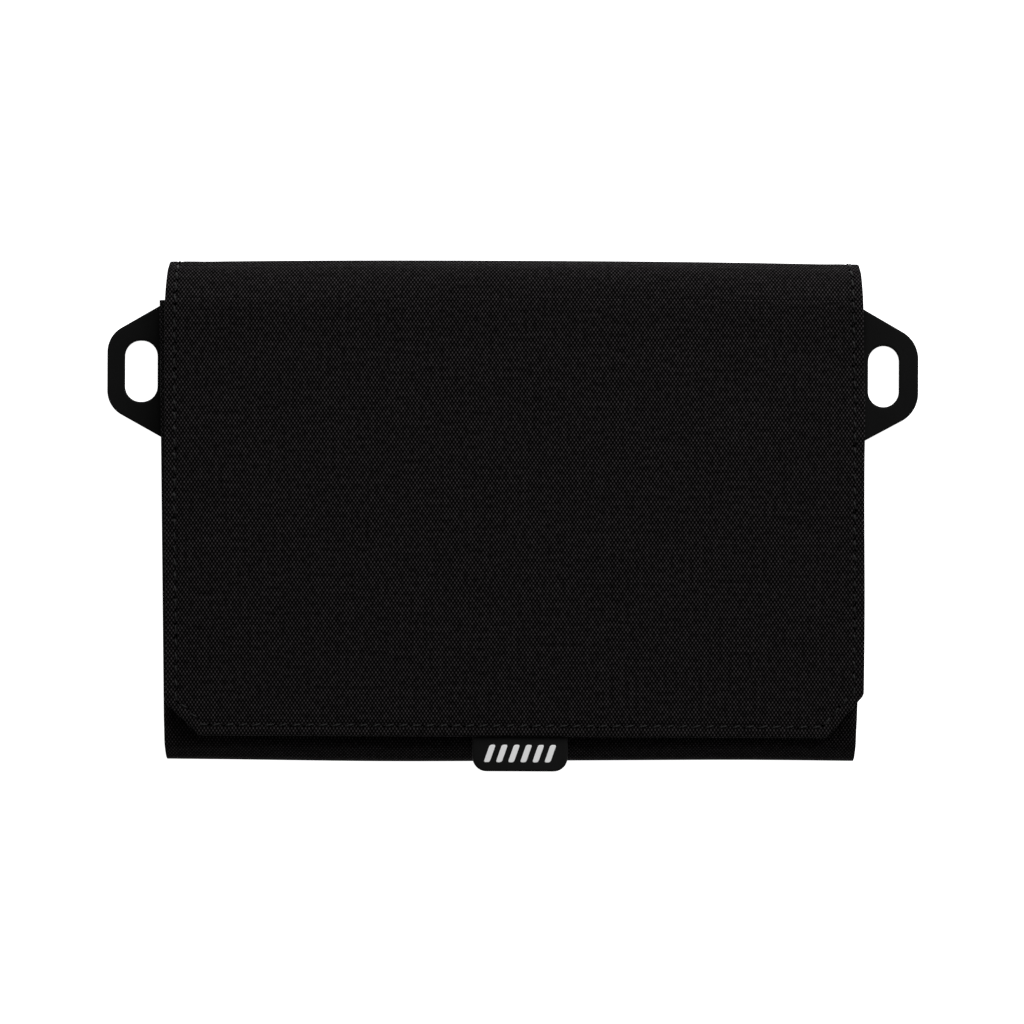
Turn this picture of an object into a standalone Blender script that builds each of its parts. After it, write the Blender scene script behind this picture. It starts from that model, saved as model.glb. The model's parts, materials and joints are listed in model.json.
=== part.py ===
"""Passport holder wallet: a flat cloth pouch closed by a flap that folds over its top edge.

The wallet lies on its back, closed. X runs across it, Y from the pouch's bottom edge up to the fold,
and Z from the back cloth up to the flap. The origin is the middle of the outline, on the surface
that the wallet lies on. Every dimension below is in millimetres, and MM turns it into metres.

The cloth that wraps the fold bends at four creases, so it is three narrow strips between the pouch
and the flap. The strap loops and the pull tab are moulded pieces that flex along their seams.
"""

import math

import bmesh
import bpy
from mathutils import Matrix, Vector

MM = 0.001
GAP = 0.3  # air left between neighbouring layers

# Outline of the closed wallet
CLOTH_WIDTH = 179.0
HALF_WIDTH = CLOTH_WIDTH / 2
POUCH_BOTTOM_Y = -63.3
POUCH_TOP_Y = 54.9
FLAP_EDGE_Y = -56.5
FLAP_CHAMFER = 9.6
FLAP_CORNER_RADIUS = 1.6
FLAP_LINING_INSET = 0.8

# Outer cloth, laminated and edge-turned, and the thinner inner layers
CLOTH = 0.8
PANEL_CLOTH = 0.6
LINING = 0.3
BOARD = 0.6
OVERALL_THICKNESS = 14.0

# The creases of the fold from the back to the flap, as (y, z) on the middle of the outer cloth
CREASES = (
    (62.0, CLOTH / 2),
    (65.5, 3.0),
    (60.4, 10.1),
    (49.3, OVERALL_THICKNESS - CLOTH / 2),
)
FOLD_STRIPS = ("fold_lower", "fold_middle", "fold_upper")
CREASE_TRIM = 0.6  # from a crease to the end of each cloth strip
LINING_TRIM = 1.4  # the lining runs on the inside of the bend, so it stops earlier

# Heights of the pouch's layers: the low face of each
BOARD_Z = 1.1
BACK_LINING_Z = 2.0
DIVIDER_Z = 6.5
ZIP_TAPE_Z = 7.6
FRONT_Z = 8.2
FRONT_POCKET_Z = 9.1
FRONT_POCKET_STEP = LINING + GAP

# Where the pouch's layers end
BACK_BOARD_HALF_WIDTH = 80.0
BACK_BOARD_HALF_HEIGHT = 57.0
BOARD_CORNER_RADIUS = 3.0
BACK_LINING_LOW_Y = -60.9
DIVIDER_LOW_Y = -56.4
TOP_BINDING_WIDTH = 0.8
FRONT_PANEL_LOW_Y = -53.7

# Heights of the flap's layers: the low face of each
FLAP_CLOTH_Z = OVERALL_THICKNESS - CLOTH
FLAP_BOARD_Z = 12.3
FLAP_LINING_Z = 11.6
FLAP_LINING = 0.4
FLAP_POCKET_Z = 10.95
FLAP_POCKET = 0.35

# Where the flap's inner layers end
FLAP_BOARD_HALF_WIDTH = 84.0
FLAP_BOARD_Y = (-46.3, 45.0)
FLAP_POCKET_HALF_WIDTH = 82.0
FLAP_POCKET_Y = (-28.0, 36.0)
FLAP_POCKET_BINDING_WIDTH = 3.2

# Zip across the front of the pouch
ZIP_Y = 44.0
ZIP_SLOT = 9.0  # opening between the two front panels
ZIP_HALF_LENGTH = 82.0
COIL_INNER = 0.6  # from the zip's middle line to each coil
COIL_OUTER = 1.9
COIL_Z = 8.2
COIL_HEIGHT = 1.0
TAPE_OUTER = 6.5
STOP_LENGTH = 1.4
STOP_CORNER_RADIUS = 0.3
SLIDER_X = 76.0
SLIDER_LENGTH = 8.4
SLIDER_WIDTH = 6.4
SLIDER_CORNER_RADIUS = 1.2
SLIDER_LOWER_Z = (7.0, 7.3)
SLIDER_UPPER_Z = (9.5, 10.1)
SLIDER_POST_HALF_WIDTH = 0.25
BRIDGE_HALF_LENGTH = 2.2
BRIDGE_HALF_WIDTH = 0.8
BRIDGE_TOP_Z = 11.35
BRIDGE_WINDOW_HALF_LENGTH = 1.6
BRIDGE_WINDOW_TOP_Z = 11.0
PULL_Z = (10.35, 10.75)
PULL_LENGTH = 21.0
PULL_HALF_WIDTH = 2.6
PULL_BAR_HALF_WIDTH = 0.6
PULL_EYE_HALF_WIDTH = 1.5
PULL_EYE_LENGTH = 4.6

# Strap loops, one at each side
LOOP_OUTER_X = 105.0
LOOP_CENTRE_Y = 36.4
LOOP_ROOT_HALF_HEIGHT = 16.6
LOOP_OUTER_HALF_HEIGHT = 9.2
LOOP_CORNER_RADIUS = 7.2
LOOP_THICKNESS = 1.4
LOOP_AXIS_X = 90.3
LOOP_AXIS_Z = 1.4
FLEX_CLEARANCE = 0.4  # from a flexing line to the moulded edges on both sides of it
LOOP_SLOT_INNER_X = 92.0
LOOP_SLOT_OUTER_X = 100.4
LOOP_SLOT_HALF_HEIGHT = 7.9
LOOP_SLOT_RADIUS = 4.0
LOOP_FLANGE_INNER_X = 81.0
LOOP_FLANGE_Z = (1.1, 1.7)
LOOP_FLANGE_INSET = 1.0
MOULDED_EDGE_ROUNDING = 0.3

# Pull tab at the flap's edge
TAB_CENTRE_X = 1.9
TAB_WIDTH = 24.6
TAB_CORNER_RADIUS = 3.1
TAB_THICKNESS = 1.1
TAB_AXIS_Y = -56.8
TAB_AXIS_Z = 12.5
TAB_FLANGE_Y = (-56.3, -47.3)

# Front pockets
CARD_SLOT_LEFT_X = -84.0
CARD_SLOT_RIGHT_X = 6.0
TICKET_POCKET_LEFT_X = 9.0
TICKET_POCKET_RIGHT_X = 84.0
POCKET_BOTTOM_Y = -36.0
CARD_SLOT_MOUTHS_Y = {"rear": 24.0, "middle": 14.0, "front": 4.0}
TICKET_POCKET_MOUTH_Y = 22.0

# Hook-and-loop closure
CLOSURE_WIDTH = 64.0
CLOSURE_Y = (-52.0, -39.0)
CLOSURE_CORNER_RADIUS = 1.5
LOOP_STRIP_Z = (9.1, 10.3)
HOOK_STRIP_Z = (10.6, 11.3)

# The pouch's bottom slopes from the front panel down to the back cloth: (y, z), front to back
BOTTOM_CREASES = ((-53.9, 8.55), (-60.1, 6.2), (-63.05, 1.2))
BOTTOM_TRIM = 0.3
# The side gussets end just inside that slope, and above the loops' flanges
GUSSET_TOP_Z = FRONT_Z - GAP
GUSSET_LOW_Z = 2.1
GUSSET_LOWER_EDGE = ((-53.9, GUSSET_TOP_Z), (-59.6, 5.7), (-61.8, GUSSET_LOW_Z))


def around(centre, half):
    """The range that reaches half to each side of centre."""
    return (centre - half, centre + half)


def linear_colour(value, tint=0.0):
    """A near-grey colour, a little cooler with more tint."""
    return (value, value, value * (1.0 + tint), 1.0)


def make_material(name, colour, roughness, metallic=0.0):
    material = bpy.data.materials.new(name)
    material.use_nodes = True
    shader = material.node_tree.nodes["Principled BSDF"]
    shader.inputs["Base Color"].default_value = colour
    shader.inputs["Roughness"].default_value = roughness
    shader.inputs["Metallic"].default_value = metallic
    material.diffuse_color = colour
    return material


def clear_scene():
    for obj in list(bpy.data.objects):
        bpy.data.objects.remove(obj)


def new_collection(name):
    collection = bpy.data.collections.new(name)
    bpy.context.scene.collection.children.link(collection)
    return collection


def add_object(name, data, centre, material, parent=None, tilt=0.0):
    """Links an object at centre (millimetres). A parent empty isn't turned, so its place is taken off."""
    obj = bpy.data.objects.new(name, data)
    PARTS.objects.link(obj)
    obj.location = Vector(centre) * MM
    obj.rotation_euler.x = tilt
    data.materials.append(material)
    if parent:
        obj.parent = parent
        obj.location -= parent.location
    return obj


def add_hinge_empty(name, place):
    """An empty on a joint's axis, which carries the pieces that turn or slide there."""
    empty = bpy.data.objects.new(name, None)
    empty.empty_display_size = 5 * MM
    empty.location = Vector(place) * MM
    PARTS.objects.link(empty)
    return empty


def slab_mesh(name, size, corner=0.0):
    """A box with its four upright edges rounded by corner."""
    bm = bmesh.new()
    bmesh.ops.create_cube(bm, size=1.0)
    bmesh.ops.scale(bm, vec=Vector(size) * MM, verts=bm.verts)
    if corner:
        upright = [e for e in bm.edges if abs(e.verts[0].co.z - e.verts[1].co.z) > 1e-6]
        bmesh.ops.bevel(bm, geom=upright, offset=corner * MM, segments=3, affect="EDGES", profile=0.5)
    mesh = bpy.data.meshes.new(name)
    bm.to_mesh(mesh)
    bm.free()
    return mesh


def slab(name, x_range, y_range, z_range, material, parent=None, corner=0.0):
    """A flat rectangular layer between the given limits."""
    ranges = (x_range, y_range, z_range)
    size = [high - low for low, high in ranges]
    centre = [(high + low) / 2 for low, high in ranges]
    return add_object(name, slab_mesh(name, size, corner), centre, material, parent)


def arc_points(start, end, centre, steps):
    """Points from start to end on the short arc about centre."""
    first, last = start - centre, end - centre
    sweep = math.atan2(first.x * last.y - first.y * last.x, first.dot(last))
    turns = [sweep * step / steps for step in range(steps + 1)]
    return [centre + Matrix.Rotation(turn, 2) @ first for turn in turns]


def rounded_outline(corners, steps=6):
    """A closed outline through corners (x, y, radius), each rounded by its radius."""
    points = []
    for index, (x, y, radius) in enumerate(corners):
        corner = Vector((x, y))
        if radius == 0:
            points.append(corner)
            continue
        back = (Vector(corners[index - 1][:2]) - corner).normalized()
        ahead = (Vector(corners[(index + 1) % len(corners)][:2]) - corner).normalized()
        half_angle = back.angle(ahead) / 2
        reach = radius / math.tan(half_angle)
        centre = corner + (back + ahead).normalized() * (radius / math.sin(half_angle))
        points += arc_points(corner + back * reach, corner + ahead * reach, centre, steps)
    return points


def outline_curve(name, outlines, thickness):
    """A filled 2D curve of that thickness; outlines after the first are holes."""
    curve = bpy.data.curves.new(name, "CURVE")
    curve.dimensions = "2D"
    curve.fill_mode = "BOTH"
    curve.extrude = thickness / 2 * MM
    for outline in outlines:
        spline = curve.splines.new("POLY")
        spline.points.add(len(outline) - 1)
        for point, place in zip(spline.points, outline):
            point.co = (place.x * MM, place.y * MM, 0.0, 1.0)
        spline.use_cyclic_u = True
    return curve


def plate(name, outlines, z_range, material, parent=None, rounding=0.0):
    """A flat piece with any outline. Its origin is on its mid-plane, in line with its parent's in Z."""
    low, high = z_range
    curve = outline_curve(name, outlines, high - low)
    obj = add_object(name, curve, (0, 0, (low + high) / 2), material, parent)
    if parent:
        shift = Vector((*parent.location.xy, 0.0, 0.0))
        for spline in curve.splines:
            for point in spline.points:
                point.co -= shift
        obj.location.xy = (0.0, 0.0)
    if rounding:
        weld = obj.modifiers.new("Weld", "WELD")
        weld.merge_threshold = 0.00001
        bevel = obj.modifiers.new("Bevel", "BEVEL")
        bevel.width = rounding * MM
        bevel.segments = 2
        bevel.limit_method = "ANGLE"
        bevel.angle_limit = math.radians(60)
    return obj


def upright_plate(name, outline_yz, x_range, material):
    """A flat piece standing across X, with its outline given as (y, z) corners."""
    low, high = x_range
    curve = outline_curve(name, [[Vector(p) for p in outline_yz]], high - low)
    obj = add_object(name, curve, ((low + high) / 2, 0, 0), material)
    obj.rotation_euler = (math.radians(90), 0, math.radians(90))
    return obj


def crease_span(start, end):
    """(length, angle above +Y) of the straight strip between two creases."""
    run, rise = end[0] - start[0], end[1] - start[1]
    return math.hypot(run, rise), math.atan2(rise, run)


def strip_between(name, start, end, section, material, parent=None):
    """A flat strip between two creases; section is its width, thickness, inset from the cloth and trim."""
    width, thickness, inset, trim = section
    length, angle = crease_span(start, end)
    along = Vector((0, math.cos(angle), math.sin(angle)))
    inward = Vector((0, -math.sin(angle), math.cos(angle)))
    centre = Vector((0, *start)) + along * length / 2 + inward * inset
    mesh = slab_mesh(name, (width, length - 2 * trim, thickness))
    return add_object(name, mesh, centre, material, parent, tilt=angle)


def combine(target, tool, operation):
    """Joins tool into target, or cuts it out, and hides the tool among the cutters."""
    PARTS.objects.unlink(tool)
    CUTTERS.objects.link(tool)
    tool.hide_render = True
    tool.display_type = "WIRE"
    boolean = target.modifiers.new(operation.title(), "BOOLEAN")
    boolean.operation = operation
    boolean.object = tool


def build_pouch_shell():
    """Back, linings and the walls that keep the passport compartment open."""
    back_crease_y = CREASES[0][0]
    back_y = (POUCH_BOTTOM_Y, back_crease_y - CREASE_TRIM)
    slab("back_cloth", (-HALF_WIDTH, HALF_WIDTH), back_y, (0.0, CLOTH), SHELL)
    board_x = (-BACK_BOARD_HALF_WIDTH, BACK_BOARD_HALF_WIDTH)
    board_y = (-BACK_BOARD_HALF_HEIGHT, BACK_BOARD_HALF_HEIGHT)
    board_z = (BOARD_Z, BOARD_Z + BOARD)
    slab("back_board", board_x, board_y, board_z, BOARD_PLASTIC, corner=BOARD_CORNER_RADIUS)

    gusset_inner_x = HALF_WIDTH - PANEL_CLOTH
    lining_x = (-gusset_inner_x + GAP, gusset_inner_x - GAP)
    lining_y = (BACK_LINING_LOW_Y, back_crease_y - LINING_TRIM)
    slab("back_lining", lining_x, lining_y, (BACK_LINING_Z, BACK_LINING_Z + LINING), LINING_CLOTH)
    binding_low_y = POUCH_TOP_Y - TOP_BINDING_WIDTH
    divider_y = (DIVIDER_LOW_Y, binding_low_y - GAP)
    slab("pocket_divider", lining_x, divider_y, (DIVIDER_Z, DIVIDER_Z + LINING), LINING_CLOTH)
    slab("pouch_top_binding", lining_x, (binding_low_y, POUCH_TOP_Y), (DIVIDER_Z, GUSSET_TOP_Z), BINDING)

    gusset_outline = ((POUCH_TOP_Y, GUSSET_LOW_Z), (POUCH_TOP_Y, GUSSET_TOP_Z), *GUSSET_LOWER_EDGE)
    for side, name in ((-1, "left_gusset"), (1, "right_gusset")):
        edges = sorted((side * gusset_inner_x, side * HALF_WIDTH))
        upright_plate(name, gusset_outline, edges, PANEL)
    strip = (CLOTH_WIDTH, PANEL_CLOTH, 0.0, BOTTOM_TRIM)
    for name, start, end in zip(("upper", "lower"), BOTTOM_CREASES, BOTTOM_CREASES[1:]):
        strip_between("bottom_gusset_" + name, start, end, strip, PANEL)


def build_pouch_front():
    """Front panels either side of the zip, and what is sewn on them."""
    front_z = (FRONT_Z, FRONT_Z + PANEL_CLOTH)
    across = (-HALF_WIDTH, HALF_WIDTH)
    slab("zip_header", across, (ZIP_Y + ZIP_SLOT / 2, POUCH_TOP_Y), front_z, PANEL)
    slab("front_panel", across, (FRONT_PANEL_LOW_Y, ZIP_Y - ZIP_SLOT / 2), front_z, PANEL)
    card_x = (CARD_SLOT_LEFT_X, CARD_SLOT_RIGHT_X)
    for order, (name, mouth_y) in enumerate(CARD_SLOT_MOUTHS_Y.items()):
        low = FRONT_POCKET_Z + order * FRONT_POCKET_STEP
        slab("card_slot_" + name, card_x, (POCKET_BOTTOM_Y, mouth_y), (low, low + LINING), LINING_CLOTH)
    ticket_x = (TICKET_POCKET_LEFT_X, TICKET_POCKET_RIGHT_X)
    ticket_y = (POCKET_BOTTOM_Y, TICKET_POCKET_MOUTH_Y)
    slab("ticket_pocket", ticket_x, ticket_y, (FRONT_POCKET_Z, FRONT_POCKET_Z + LINING), MESH_CLOTH)
    closure_x = (-CLOSURE_WIDTH / 2, CLOSURE_WIDTH / 2)
    slab("closure_loop_strip", closure_x, CLOSURE_Y, LOOP_STRIP_Z, CLOSURE, corner=CLOSURE_CORNER_RADIUS)


def build_zip():
    """Two tapes with their coils, the end stops, and the slider with its pull."""
    tape_x = (-ZIP_HALF_LENGTH, ZIP_HALF_LENGTH)
    tape_z = (ZIP_TAPE_Z, ZIP_TAPE_Z + LINING)
    coil_z = (COIL_Z, COIL_Z + COIL_HEIGHT)
    coil_end_x = ZIP_HALF_LENGTH - STOP_LENGTH - GAP
    top_stop_x = (ZIP_HALF_LENGTH - STOP_LENGTH, ZIP_HALF_LENGTH)
    for side, name in ((1, "upper"), (-1, "lower")):
        tape_y = sorted((ZIP_Y + side * COIL_INNER, ZIP_Y + side * TAPE_OUTER))
        slab("zip_tape_" + name, tape_x, tape_y, tape_z, ZIP_TAPE)
        coil_y = sorted((ZIP_Y + side * COIL_INNER, ZIP_Y + side * COIL_OUTER))
        slab("zip_coil_" + name, (-coil_end_x, coil_end_x), coil_y, coil_z, ZIP_COIL)
        slab("zip_top_stop_" + name, top_stop_x, coil_y, coil_z, METAL, corner=STOP_CORNER_RADIUS)
    bottom_stop_x = (-ZIP_HALF_LENGTH, -ZIP_HALF_LENGTH + STOP_LENGTH)
    bottom_stop_y = (ZIP_Y - COIL_OUTER, ZIP_Y + COIL_OUTER)
    slab("zip_bottom_stop", bottom_stop_x, bottom_stop_y, coil_z, METAL, corner=STOP_CORNER_RADIUS)

    carriage = add_hinge_empty("zip_slide_axis", (SLIDER_X, ZIP_Y, COIL_Z))
    build_slider(carriage)
    build_zip_pull(carriage)


def build_slider(carriage):
    """Slider: a plate above and below the coils, a thin post between them and a bridge for the pull."""
    plate_x = around(SLIDER_X, SLIDER_LENGTH / 2)
    plate_y = around(ZIP_Y, SLIDER_WIDTH / 2)
    shape = (METAL, carriage, SLIDER_CORNER_RADIUS)
    slider = slab("zip_slider", plate_x, plate_y, SLIDER_UPPER_Z, *shape)
    lower_plate = slab("slider_lower_plate", plate_x, plate_y, SLIDER_LOWER_Z, *shape)

    middle_lower_z = sum(SLIDER_LOWER_Z) / 2
    middle_upper_z = sum(SLIDER_UPPER_Z) / 2
    post_x = (SLIDER_X, plate_x[1] - SLIDER_CORNER_RADIUS)
    post_y = around(ZIP_Y, SLIDER_POST_HALF_WIDTH)
    post = slab("slider_post", post_x, post_y, (middle_lower_z, middle_upper_z), METAL, carriage)
    bridge_x = around(SLIDER_X, BRIDGE_HALF_LENGTH)
    bridge_y = around(ZIP_Y, BRIDGE_HALF_WIDTH)
    bridge = slab("slider_bridge", bridge_x, bridge_y, (middle_upper_z, BRIDGE_TOP_Z), METAL, carriage)
    window_x = around(SLIDER_X, BRIDGE_WINDOW_HALF_LENGTH)
    window_y = around(ZIP_Y, 2 * BRIDGE_HALF_WIDTH)
    window_z = (SLIDER_UPPER_Z[1], BRIDGE_WINDOW_TOP_Z)
    window = slab("slider_window", window_x, window_y, window_z, METAL, carriage)
    for tool in (lower_plate, post, bridge):
        combine(slider, tool, "UNION")
    combine(slider, window, "DIFFERENCE")


def build_zip_pull(carriage):
    """Pull: a flat tongue that lies along the zip, with an eye round the slider's bridge."""
    low_y, high_y = around(ZIP_Y, PULL_HALF_WIDTH)
    bar_front_x = SLIDER_X + PULL_BAR_HALF_WIDTH
    tip_x = SLIDER_X - PULL_LENGTH
    outer = ((bar_front_x, low_y, 1.0), (bar_front_x, high_y, 1.0), (tip_x, high_y, 2.0), (tip_x, low_y, 2.0))
    low_y, high_y = around(ZIP_Y, PULL_EYE_HALF_WIDTH)
    bar_back_x = SLIDER_X - PULL_BAR_HALF_WIDTH
    eye_x = bar_back_x - PULL_EYE_LENGTH
    eye = ((bar_back_x, low_y, 0.4), (bar_back_x, high_y, 0.4), (eye_x, high_y, 0.8), (eye_x, low_y, 0.8))
    plate("zip_pull", [rounded_outline(outer), rounded_outline(eye)], PULL_Z, METAL, carriage)


def build_fold():
    """The strips that carry the cloth round the fold, each with its lining."""
    lining_inset = CLOTH / 2 + GAP + LINING / 2
    lining_width = CLOTH_WIDTH - 2 * FLAP_LINING_INSET
    for name, start, end in zip(FOLD_STRIPS, CREASES, CREASES[1:]):
        axis = add_hinge_empty(name + "_axis", (0, *start))
        cloth = (CLOTH_WIDTH, CLOTH, 0.0, CREASE_TRIM)
        strip_between(name + "_cloth", start, end, cloth, SHELL, axis)
        lining = (lining_width, LINING, lining_inset, LINING_TRIM)
        strip_between(name + "_lining", start, end, lining, LINING_CLOTH, axis)


def flap_outline(inset, top_y):
    """The flap's outline with its two chamfered corners, drawn in by inset on three sides."""
    half, low_y = HALF_WIDTH - inset, FLAP_EDGE_Y + inset
    chamfer = FLAP_CHAMFER - inset * (2 - math.sqrt(2))
    corners = (
        (-half, top_y, 0),
        (-half, low_y + chamfer, FLAP_CORNER_RADIUS),
        (-half + chamfer, low_y, FLAP_CORNER_RADIUS),
        (half - chamfer, low_y, FLAP_CORNER_RADIUS),
        (half, low_y + chamfer, FLAP_CORNER_RADIUS),
        (half, top_y, 0),
    )
    return rounded_outline(corners, steps=3)


def build_flap():
    """Flap: outer cloth, board and lining, with the pocket and the closure on its inside."""
    front_crease = CREASES[-1]
    axis = add_hinge_empty("flap_axis", (0, *front_crease))
    cloth_outline = flap_outline(0.0, front_crease[0] - CREASE_TRIM)
    plate("flap_cloth", [cloth_outline], (FLAP_CLOTH_Z, OVERALL_THICKNESS), SHELL, axis)
    board_x = (-FLAP_BOARD_HALF_WIDTH, FLAP_BOARD_HALF_WIDTH)
    board_z = (FLAP_BOARD_Z, FLAP_BOARD_Z + BOARD)
    slab("flap_board", board_x, FLAP_BOARD_Y, board_z, BOARD_PLASTIC, axis, BOARD_CORNER_RADIUS)
    lining_outline = flap_outline(FLAP_LINING_INSET, front_crease[0] - LINING_TRIM)
    plate("flap_lining", [lining_outline], (FLAP_LINING_Z, FLAP_LINING_Z + FLAP_LINING), LINING_CLOTH, axis)

    pocket_x = (-FLAP_POCKET_HALF_WIDTH, FLAP_POCKET_HALF_WIDTH)
    pocket_z = (FLAP_POCKET_Z, FLAP_POCKET_Z + FLAP_POCKET)
    slab("flap_pocket", pocket_x, FLAP_POCKET_Y, pocket_z, MESH_CLOTH, axis)
    binding_high_y = FLAP_POCKET_Y[0] - GAP
    binding_y = (binding_high_y - FLAP_POCKET_BINDING_WIDTH, binding_high_y)
    slab("flap_pocket_binding", pocket_x, binding_y, pocket_z, BINDING, axis)
    closure_x = (-CLOSURE_WIDTH / 2, CLOSURE_WIDTH / 2)
    slab("closure_hook_strip", closure_x, CLOSURE_Y, HOOK_STRIP_Z, CLOSURE, axis, CLOSURE_CORNER_RADIUS)
    flange_x = around(TAB_CENTRE_X, TAB_WIDTH / 2)
    slab("pull_tab_flange", flange_x, TAB_FLANGE_Y, board_z, LABEL, axis)


def build_pull_tab(end_y):
    """The moulded tab below the flap's edge; it flexes along the seam that holds its flange."""
    axis = add_hinge_empty("pull_tab_axis", (TAB_CENTRE_X, TAB_AXIS_Y, TAB_AXIS_Z))
    left, right = around(TAB_CENTRE_X, TAB_WIDTH / 2)
    root_y = TAB_AXIS_Y - FLEX_CLEARANCE
    corners = (
        (left, root_y, 0),
        (left, end_y, TAB_CORNER_RADIUS),
        (right, end_y, TAB_CORNER_RADIUS),
        (right, root_y, 0),
    )
    tab_z = around(TAB_AXIS_Z, TAB_THICKNESS / 2)
    plate("pull_tab", [rounded_outline(corners)], tab_z, LABEL, axis, MOULDED_EDGE_ROUNDING)


def build_strap_loop(side, name):
    """One moulded strap loop outside the pouch, and the flange that is sewn inside it."""
    axis = add_hinge_empty(name + "_axis", (side * LOOP_AXIS_X, LOOP_CENTRE_Y, LOOP_AXIS_Z))
    root_x, outer_x = side * (LOOP_AXIS_X + FLEX_CLEARANCE), side * LOOP_OUTER_X
    low_root, high_root = around(LOOP_CENTRE_Y, LOOP_ROOT_HALF_HEIGHT)
    low_end, high_end = around(LOOP_CENTRE_Y, LOOP_OUTER_HALF_HEIGHT)
    ring = (
        (root_x, low_root, 0),
        (outer_x, low_end, LOOP_CORNER_RADIUS),
        (outer_x, high_end, LOOP_CORNER_RADIUS),
        (root_x, high_root, 0),
    )
    inner_x, outer_x = side * LOOP_SLOT_INNER_X, side * LOOP_SLOT_OUTER_X
    low, high = around(LOOP_CENTRE_Y, LOOP_SLOT_HALF_HEIGHT)
    slot = (
        (inner_x, low, LOOP_SLOT_RADIUS),
        (outer_x, low, LOOP_SLOT_RADIUS),
        (outer_x, high, LOOP_SLOT_RADIUS),
        (inner_x, high, LOOP_SLOT_RADIUS),
    )
    outlines = [rounded_outline(ring), rounded_outline(slot)]
    loop_z = around(LOOP_AXIS_Z, LOOP_THICKNESS / 2)
    plate(name, outlines, loop_z, MOULDED, axis, MOULDED_EDGE_ROUNDING)

    flange_x = sorted((side * (LOOP_AXIS_X - FLEX_CLEARANCE), side * LOOP_FLANGE_INNER_X))
    flange_y = (low_root + LOOP_FLANGE_INSET, high_root - LOOP_FLANGE_INSET)
    slab(name + "_flange", flange_x, flange_y, LOOP_FLANGE_Z, MOULDED)


def outermost_y():
    """How far the outer cloth reaches along +Y, at the ends of the two strips by the second crease."""
    crease_y = CREASES[1][0]
    ends = []
    for other, next_one in ((CREASES[1], CREASES[0]), (CREASES[1], CREASES[2])):
        angle = crease_span(other, next_one)[1]
        ends.append(crease_y + CREASE_TRIM * math.cos(angle) + CLOTH / 2 * abs(math.sin(angle)))
    return max(ends)


clear_scene()
PARTS = new_collection("passport_holder_wallet")
CUTTERS = new_collection("cutters")
CUTTERS.hide_render = True

SHELL = make_material("shell_cloth", linear_colour(0.012, 0.02), 0.85)
PANEL = make_material("panel_cloth", linear_colour(0.011, 0.02), 0.88)
LINING_CLOTH = make_material("lining_cloth", linear_colour(0.016, 0.05), 0.7)
MESH_CLOTH = make_material("mesh_cloth", linear_colour(0.014, 0.02), 0.8)
BINDING = make_material("binding_tape", linear_colour(0.013, 0.0), 0.75)
BOARD_PLASTIC = make_material("stiffener_board", linear_colour(0.3, 0.0), 0.5)
CLOSURE = make_material("hook_and_loop", linear_colour(0.013, 0.0), 0.95)
MOULDED = make_material("moulded_plastic", linear_colour(0.011, 0.0), 0.5)
LABEL = make_material("label_rubber", linear_colour(0.012, 0.0), 0.45)
ZIP_TAPE = make_material("zip_tape", linear_colour(0.013, 0.0), 0.8)
ZIP_COIL = make_material("zip_coil", linear_colour(0.02, 0.0), 0.4)
METAL = make_material("zip_metal", linear_colour(0.03, 0.0), 0.35, 0.8)

build_pouch_shell()
build_pouch_front()
build_zip()
build_fold()
build_flap()
build_pull_tab(-outermost_y())
for loop_side, loop_name in ((-1, "left_strap_loop"), (1, "right_strap_loop")):
    build_strap_loop(loop_side, loop_name)
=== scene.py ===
"""Looks of the passport holder wallet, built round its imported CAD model.

Lengths in this script are in millimetres until a mesh is made, where MM turns them into metres.
A sheet of cloth is worked out on its flat pattern: x runs across the wallet, and s along the cloth
from its first edge. A Profile then says where in the YZ plane each s lies.
"""

import json
import math

import bpy
import numpy as np
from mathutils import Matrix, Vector


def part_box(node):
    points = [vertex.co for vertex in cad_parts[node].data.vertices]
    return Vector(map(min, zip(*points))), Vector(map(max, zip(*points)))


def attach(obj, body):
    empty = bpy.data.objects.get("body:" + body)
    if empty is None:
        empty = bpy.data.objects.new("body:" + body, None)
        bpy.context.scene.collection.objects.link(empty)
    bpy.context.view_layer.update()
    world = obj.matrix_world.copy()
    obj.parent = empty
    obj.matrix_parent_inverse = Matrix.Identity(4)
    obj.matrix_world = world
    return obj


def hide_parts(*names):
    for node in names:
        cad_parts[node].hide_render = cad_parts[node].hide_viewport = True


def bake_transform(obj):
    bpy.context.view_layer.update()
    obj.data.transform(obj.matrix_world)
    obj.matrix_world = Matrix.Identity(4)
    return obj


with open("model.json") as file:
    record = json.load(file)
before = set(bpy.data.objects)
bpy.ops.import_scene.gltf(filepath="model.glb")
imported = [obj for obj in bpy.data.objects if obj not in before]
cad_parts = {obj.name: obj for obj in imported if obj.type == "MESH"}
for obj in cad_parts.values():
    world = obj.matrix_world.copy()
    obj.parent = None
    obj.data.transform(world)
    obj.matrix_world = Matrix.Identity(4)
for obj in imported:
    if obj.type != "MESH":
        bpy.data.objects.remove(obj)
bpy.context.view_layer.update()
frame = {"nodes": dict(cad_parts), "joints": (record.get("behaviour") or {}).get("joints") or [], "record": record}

MM = 0.001
RANDOM = np.random.default_rng(11)

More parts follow.
